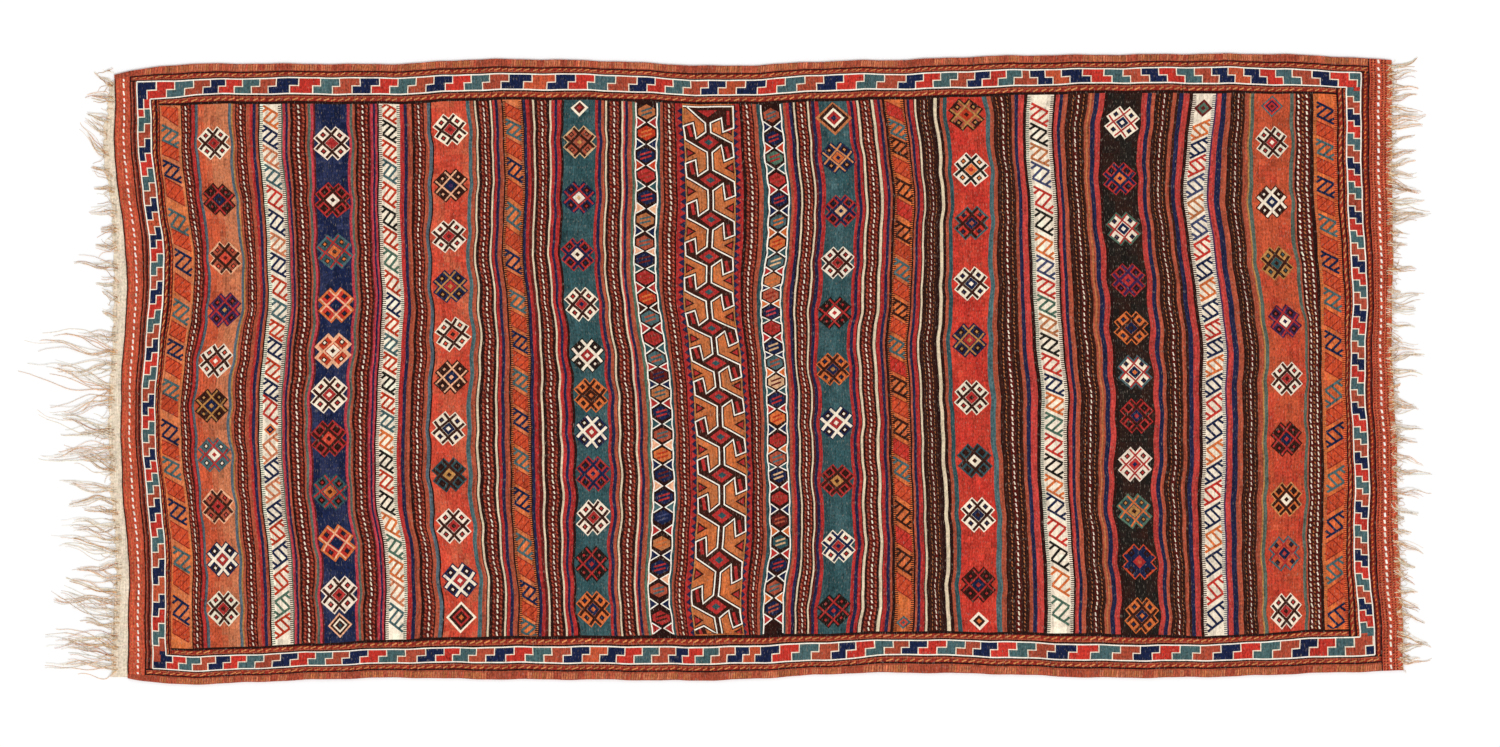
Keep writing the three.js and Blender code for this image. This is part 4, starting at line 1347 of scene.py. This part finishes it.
def strand(piece, line, root, tip, lift, yarn):
    """One thin twisted warp end along a line on the floor; lift is its height at each point."""
    ahead = np.gradient(line, axis=0)
    ahead /= np.linalg.norm(ahead, axis=1, keepdims=True)
    normal = left_of(ahead)
    t = np.linspace(0, 1, len(line))[:, None]
    half = (root * (1 - t) + tip * t) / 2
    rings = []
    for k in range(STRAND_SIDES):
        angle = 2 * math.pi * (k + 0.5) / STRAND_SIDES
        offset = line + normal * half * math.cos(angle)
        rings.append(np.hstack([offset, lift[:, None] + half * (1 + math.sin(angle))]))
    places = np.stack(rings, axis=1).reshape(-1, 3)
    piece.add(places, tube_faces(len(line), STRAND_SIDES), dyed(yarn, 1, 0.1))


def wandering(start, length, heading, curl, sway, side, steps):
    """A line of this length: it leaves start at the heading, turns by curl and sways on its way."""
    t = np.linspace(0, 1, steps)
    slow, quick = rng.uniform(0, 2 * math.pi, 2)
    angle = heading + curl * t * t + sway * (np.sin(2 * math.pi * 1.3 * t + slow) - math.sin(slow))
    angle = angle + 0.6 * sway * np.sin(2 * math.pi * 4.3 * t + quick) * t
    step = length / steps
    x = start[0] + side * step * np.concatenate([[0], np.cumsum(np.cos(angle))])
    y = start[1] + step * np.concatenate([[0], np.cumsum(np.sin(angle))])
    return np.column_stack([x, y])


def dropping(line, edge, side, rest):
    """How high a strand lies: on the cloth inside the edge, and then down to its rest on the floor."""
    outside = np.clip(side * (line[:, 0] - edge) / DROP_REACH, 0, 1)
    return rest + (EDGE_TOP - rest) * (1 - outside) ** 2


def fringe(name, tufts, edge_x, side, per_tuft, spread, wisps, wisp_reach):
    """Tufts of warp ends that draw together towards their tips, and short wisps between them."""
    piece = Piece(name)
    t = np.linspace(0, 1, STRAND_STEPS + 1)

    def rooted(y, depth):
        """The edge's X at height y, and the root that lies this far inside it."""
        edge = float(edge_x(np.array([y]))[0])
        return edge, (edge - side * depth, y)

    for root, reach, rise in tufts:
        length, heading = TUFT_SLACK * math.hypot(reach, rise), math.atan2(rise, reach)
        curl = rng.uniform(*TUFT["curl"])
        heading -= curl / 3
        _, start = rooted(root, ROOT_DEPTH)
        lock = wandering(start, length + ROOT_DEPTH, heading, curl, TUFT_SWAY, side, STRAND_STEPS)
        for k in range(per_tuft):
            y = root + spread * (2 * (k + 0.5) / per_tuft - 1) + ROOT_SPREAD * rng.standard_normal()
            depth = ROOT_DEPTH * rng.uniform(*TUFT["depth"])
            edge, start = rooted(y, depth)
            own_length = length * rng.uniform(*TUFT["length"]) + depth
            own_heading = heading + HEADING_SPREAD * rng.standard_normal()
            own_curl = curl + CURL_SPREAD * rng.standard_normal()
            own = wandering(start, own_length, own_heading, own_curl, SWAY, side, STRAND_STEPS)
            reached = t * own_length / length
            inside = np.column_stack([np.interp(reached, t, lock[:, axis]) for axis in (0, 1)])
            drawn = (rng.uniform(*TUFT["drawn"]) * t * t * (3 - 2 * t))[:, None]
            line = own * (1 - drawn) + inside * drawn
            lift = dropping(line, edge, side, LOWEST + STRAND_LAYER * (k % 3))
            yarn = rng.choice(["cream", "tan", "straw", "ochre"], p=[0.6, 0.2, 0.17, 0.03])
            strand(piece, line, rng.uniform(*TUFT["root"]), rng.uniform(*TUFT["tip"]), lift, yarn)
    for _ in range(wisps):
        y = rng.uniform(*WISP_HEIGHTS)
        depth = ROOT_DEPTH * rng.uniform(*WISP["depth"])
        edge, start = rooted(y, depth)
        length = depth + wisp_reach * rng.uniform(*WISP["length"])
        heading = rng.uniform(*WISP["heading"])
        curl = rng.uniform(*WISP["curl"])
        line = wandering(start, length, heading, curl, SWAY, side, WISP_STEPS)
        lift = dropping(line, edge, side, WISP_LIFT)
        strand(piece, line, *WISP_WIDTHS, lift, rng.choice(["cream", "tan", "gold"]))
    return piece


def skirt_edge(y):
    return through(HEIGHTS, SKIRT_LEFT, y)


def right_fringe_edge(y):
    return through(HEIGHTS, BAND_LINES["right_edge"][1], y)


SKIRT_ROWS = 420
SKIRT_SHARES = (0.0, 0.35, 0.7, 1.0)  # its lengthwise lines, from the rug outwards
SKIRT_HIGH, SKIRT_LOW = 2.0, 0.05
SKIRT_THINS = 0.3  # how much thinner its ragged edge is
SKIRT_START, SKIRT_END = 4, 26  # how far inside the rug's two long sides it starts and ends
SKIRT_GAP = 0.6
LEAST_SKIRT = 3
RAGGED, SCALLOP, SCALLOP_LONG = 1.3, 1.5, 7.3  # its edge's random part, its waves and their length


def skirt():
    """The plain-weave strip outside the left end band, with a ragged edge."""
    piece = Piece("skirt_left")
    v = np.linspace(EDGE_V[0] + SKIRT_START, EDGE_V[-1] - SKIRT_END, SKIRT_ROWS)
    inner, y = spot(np.full(SKIRT_ROWS, GUIDE_U[0]), v)
    inner = inner + SKIRT_GAP
    ragged = RAGGED * rng.standard_normal(SKIRT_ROWS) + SCALLOP * np.sin(y / SCALLOP_LONG)
    outer = skirt_edge(y) + ragged
    lines = [inner + (outer - inner) * share for share in SKIRT_SHARES]
    lines[-1] = np.minimum(lines[-1], inner - LEAST_SKIRT)
    top = np.stack([
        np.column_stack([x, y, np.full(SKIRT_ROWS, SKIRT_HIGH - SKIRT_THINS * share)])
        for x, share in zip(lines, SKIRT_SHARES)
    ], axis=1)
    low = top.copy()
    low[:, :, 2] = SKIRT_LOW
    both = np.concatenate([top, low[:, ::-1]], axis=1)
    faces = tube_faces(SKIRT_ROWS, both.shape[1])
    piece.add(both.reshape(-1, 3), faces, dyed("cream", len(faces), FIGURE_SPREAD))
    return piece


# Materials
def fill_inputs(node, tree, values):
    """Sets a node's inputs to numbers and colours, or links them to other nodes' outputs."""
    for name, value in values.items():
        if isinstance(value, bpy.types.NodeSocket):
            tree.links.new(value, node.inputs[name])
        else:
            node.inputs[name].default_value = value


class Tree:
    """A material's nodes; each method adds one and gives its output."""

    def __init__(self, name):
        self.material = bpy.data.materials.new(name)
        self.material.use_nodes = True
        self.tree = self.material.node_tree

    def shade(self, values):
        fill_inputs(self.tree.nodes["Principled BSDF"], self.tree, values)
        return self.material

    def node(self, kind, values, output=0, **settings):
        node = self.tree.nodes.new("ShaderNode" + kind)
        for name, value in settings.items():
            setattr(node, name, value)
        fill_inputs(node, self.tree, values)
        return node.outputs[output]

    def math(self, operation, *values):
        return self.node("Math", dict(enumerate(values)), operation=operation)

    def times(self, first, second):
        return self.math("MULTIPLY", first, second)

    def sum_of(self, total, *others):
        for other in others:
            total = self.math("ADD", total, other)
        return total

    def noise(self, u, v, scale_u, scale_v, detail):
        place = self.node("CombineXYZ", {0: self.times(u, scale_u), 1: self.times(v, scale_v)})
        return self.node("TexNoise", {"Scale": 1.0, "Detail": detail, "Vector": place})


WOOL_GLOSS = {"Roughness": 0.93, "Specular IOR Level": 0.12, "Sheen Roughness": 0.6}
STITCH_LEAN = 0.6  # how far a stitch leans along the warp, in stitches
STITCH_ROUND = 0.6  # under 1 makes a stitch's back flatter
NOISES = {
    # Name: scale across the warp and along it, per millimetre, and detail
    "streak": (0.3, 0.02, 3.0), "patchy": (0.03, 0.015, 2.0), "fuzz": (0.3, 0.2, 5.0),
    "worn": (0.45, 0.12, 2.0),
}
# Shares of each noise in the colour: streak, patchy and fuzz are uneven dye; the height share is painted
# shade that darkens the low parts of each stitch.
DYE_AND_SHADE_SHARES = {"streak": 1.2, "patchy": 0.4, "fuzz": 1.8, "height": 0.25}
WORN = {"From Min": 0.58, "From Max": 0.74, "To Max": 0.36}  # where the noise shows the pale warp
WORN_COLOUR = (0.46, 0.38, 0.3, 1)
EVEN = -1.87  # takes off what the shares of uneven dye and of painted shade come to on average
UNEVEN_STRENGTH = 1.35  # for a black yarn; a paler one is less uneven
BUMP_METRES = 0.0006


def yarn_material(name, stitch_wide, stitch_long, relief, sheen):
    """Wrapped yarn: leaning stitches in rows that lean one way and then the other, with uneven dye and with
    shade painted darker into the low parts of each stitch.
    """
    tree = Tree(name)
    weave = tree.node("UVMap", {}, uv_map="weave")
    u = tree.node("SeparateXYZ", {0: weave})
    v = tree.node("SeparateXYZ", {0: weave}, output=1)
    column = tree.math("DIVIDE", u, stitch_wide)
    across = tree.math("FRACT", column)
    odd = tree.math("FLOORED_MODULO", tree.math("FLOOR", column), 2.0)
    lean = tree.math("SUBTRACT", tree.times(odd, 2.0), 1.0)
    slanted = tree.times(tree.times(lean, across), STITCH_LEAN)
    along = tree.sum_of(tree.math("DIVIDE", v, stitch_long), slanted)
    wave = tree.math("ABSOLUTE", tree.math("SINE", tree.times(along, math.pi)))
    cord = tree.math("SINE", tree.times(across, math.pi))
    stitch = tree.math("POWER", wave, STITCH_ROUND)
    parts = {kind: tree.noise(u, v, *scales) for kind, scales in NOISES.items()}
    parts["height"] = tree.sum_of(tree.times(stitch, 0.5), tree.times(cord, 0.5))
    bumpy = tree.sum_of(parts["height"], tree.times(parts["fuzz"], 0.5))
    bump = tree.node("Bump", {"Strength": relief, "Distance": BUMP_METRES, "Height": bumpy})
    dye = tree.node("Attribute", {}, output="Color", attribute_name="dye")
    pale = tree.node("RGBToBW", {0: dye})
    # The stitches' height enters the colour here: painted shade in the hollows between stitches, added to the
    # uneven dye.
    uneven = tree.sum_of(EVEN, *(tree.times(parts[kind], share) for kind, share in DYE_AND_SHADE_SHARES.items()))
    tone = tree.sum_of(1.0, tree.times(uneven, tree.math("SUBTRACT", UNEVEN_STRENGTH, pale)))
    scaled = tree.node("VectorMath", {0: dye, "Scale": tone}, operation="SCALE")
    fleck = tree.node("MapRange", {"Value": parts["worn"], **WORN}, interpolation_type="SMOOTHSTEP")
    colours = {"Factor": fleck, "A": scaled, "B": WORN_COLOUR}
    mixed = tree.node("Mix", colours, output="Result", data_type="RGBA")
    return tree.shade({**WOOL_GLOSS, "Sheen Weight": sheen, "Normal": bump, "Base Color": mixed})


wool = yarn_material("wool", 2.2, 4.0, 0.5, 0.0)
warp_yarn = yarn_material("warp_yarn", 1.6, 2.4, 0.35, 0.02)

# Pieces
ground = rug_ground().build(wool, "wool", recalculate=False)
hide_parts("woven_rug")
parts = stripe_pieces() + horizontal_stitches() + frame_pieces()
parts.append(selvedge("selvedge_top", EDGE_V[-1], -1, 11.5))
parts.append(selvedge("selvedge_low", EDGE_V[0], 1, 12.5))
parts += [medallion_band(band) for band in MEDALLIONS]
parts += [s_band(band) for band in S_FIGURES]
parts += [hexagon_band(band) for band in HEXAGONS]
parts += [hook_band(), lone_diamonds()]
woven = [part.build(wool, "wool") for part in parts]

left_skirt = skirt().build(warp_yarn, "warp_yarn", warp=False)
left_fringe = fringe(
    "fringe_strands_left", TUFTS_LEFT, skirt_edge, -1, per_tuft=9, spread=7.0, wisps=130, wisp_reach=36,
)
left_fringe = left_fringe.build(warp_yarn, "warp_yarn", warp=False)
right_fringe = fringe(
    "fringe_strands_right", TUFTS_RIGHT, right_fringe_edge, 1, per_tuft=7, spread=6.0, wisps=520,
    wisp_reach=20,
)
right_fringe = right_fringe.build(warp_yarn, "warp_yarn", warp=False)
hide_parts("fringe_left")
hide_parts("fringe_left")
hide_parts("fringe_right")

# Floor, light and camera
FLOOR_SIZE = 18.0
FLOOR_DROP = 0.0005
FLOOR_LOOK = {"Base Color": (0.96, 0.97, 0.99, 1), "Roughness": 0.9, "Specular IOR Level": 0.1}
SKY = {"Color": (1, 0.99, 0.97, 1), "Strength": 0.78}
SUN_STRENGTH = 1.15
SUN_WIDE = math.radians(12)
SUN_TURN = (math.radians(38), 0, math.radians(35))

bpy.ops.mesh.primitive_plane_add(size=FLOOR_SIZE, location=(0, 0, -FLOOR_DROP))
floor = bpy.context.object
floor.name = "floor"
floor.data.materials.append(Tree("floor_pale").shade(FLOOR_LOOK))

scene = bpy.context.scene
world = scene.world or bpy.data.worlds.new("world")
scene.world = world
world.use_nodes = True
fill_inputs(world.node_tree.nodes["Background"], world.node_tree, SKY)
sun_data = bpy.data.lights.new("key", "SUN")
sun_data.energy = SUN_STRENGTH
sun_data.angle = SUN_WIDE
sun = bpy.data.objects.new("key", sun_data)
sun.rotation_euler = SUN_TURN
scene.collection.objects.link(sun)

CAMERA_HIGH = 8.0
SENSOR = 36.0
camera_data = bpy.data.cameras.new("camera")
camera_data.sensor_width = SENSOR
camera_data.lens = SENSOR * CAMERA_HIGH / (PHOTO_WIDE * PHOTO_MM / MM)
camera = bpy.data.objects.new("camera", camera_data)
camera.location = (SHIFT[0] / MM, SHIFT[1] / MM, CAMERA_HIGH)
scene.collection.objects.link(camera)
scene.camera = camera
scene.view_settings.view_transform = "Standard"
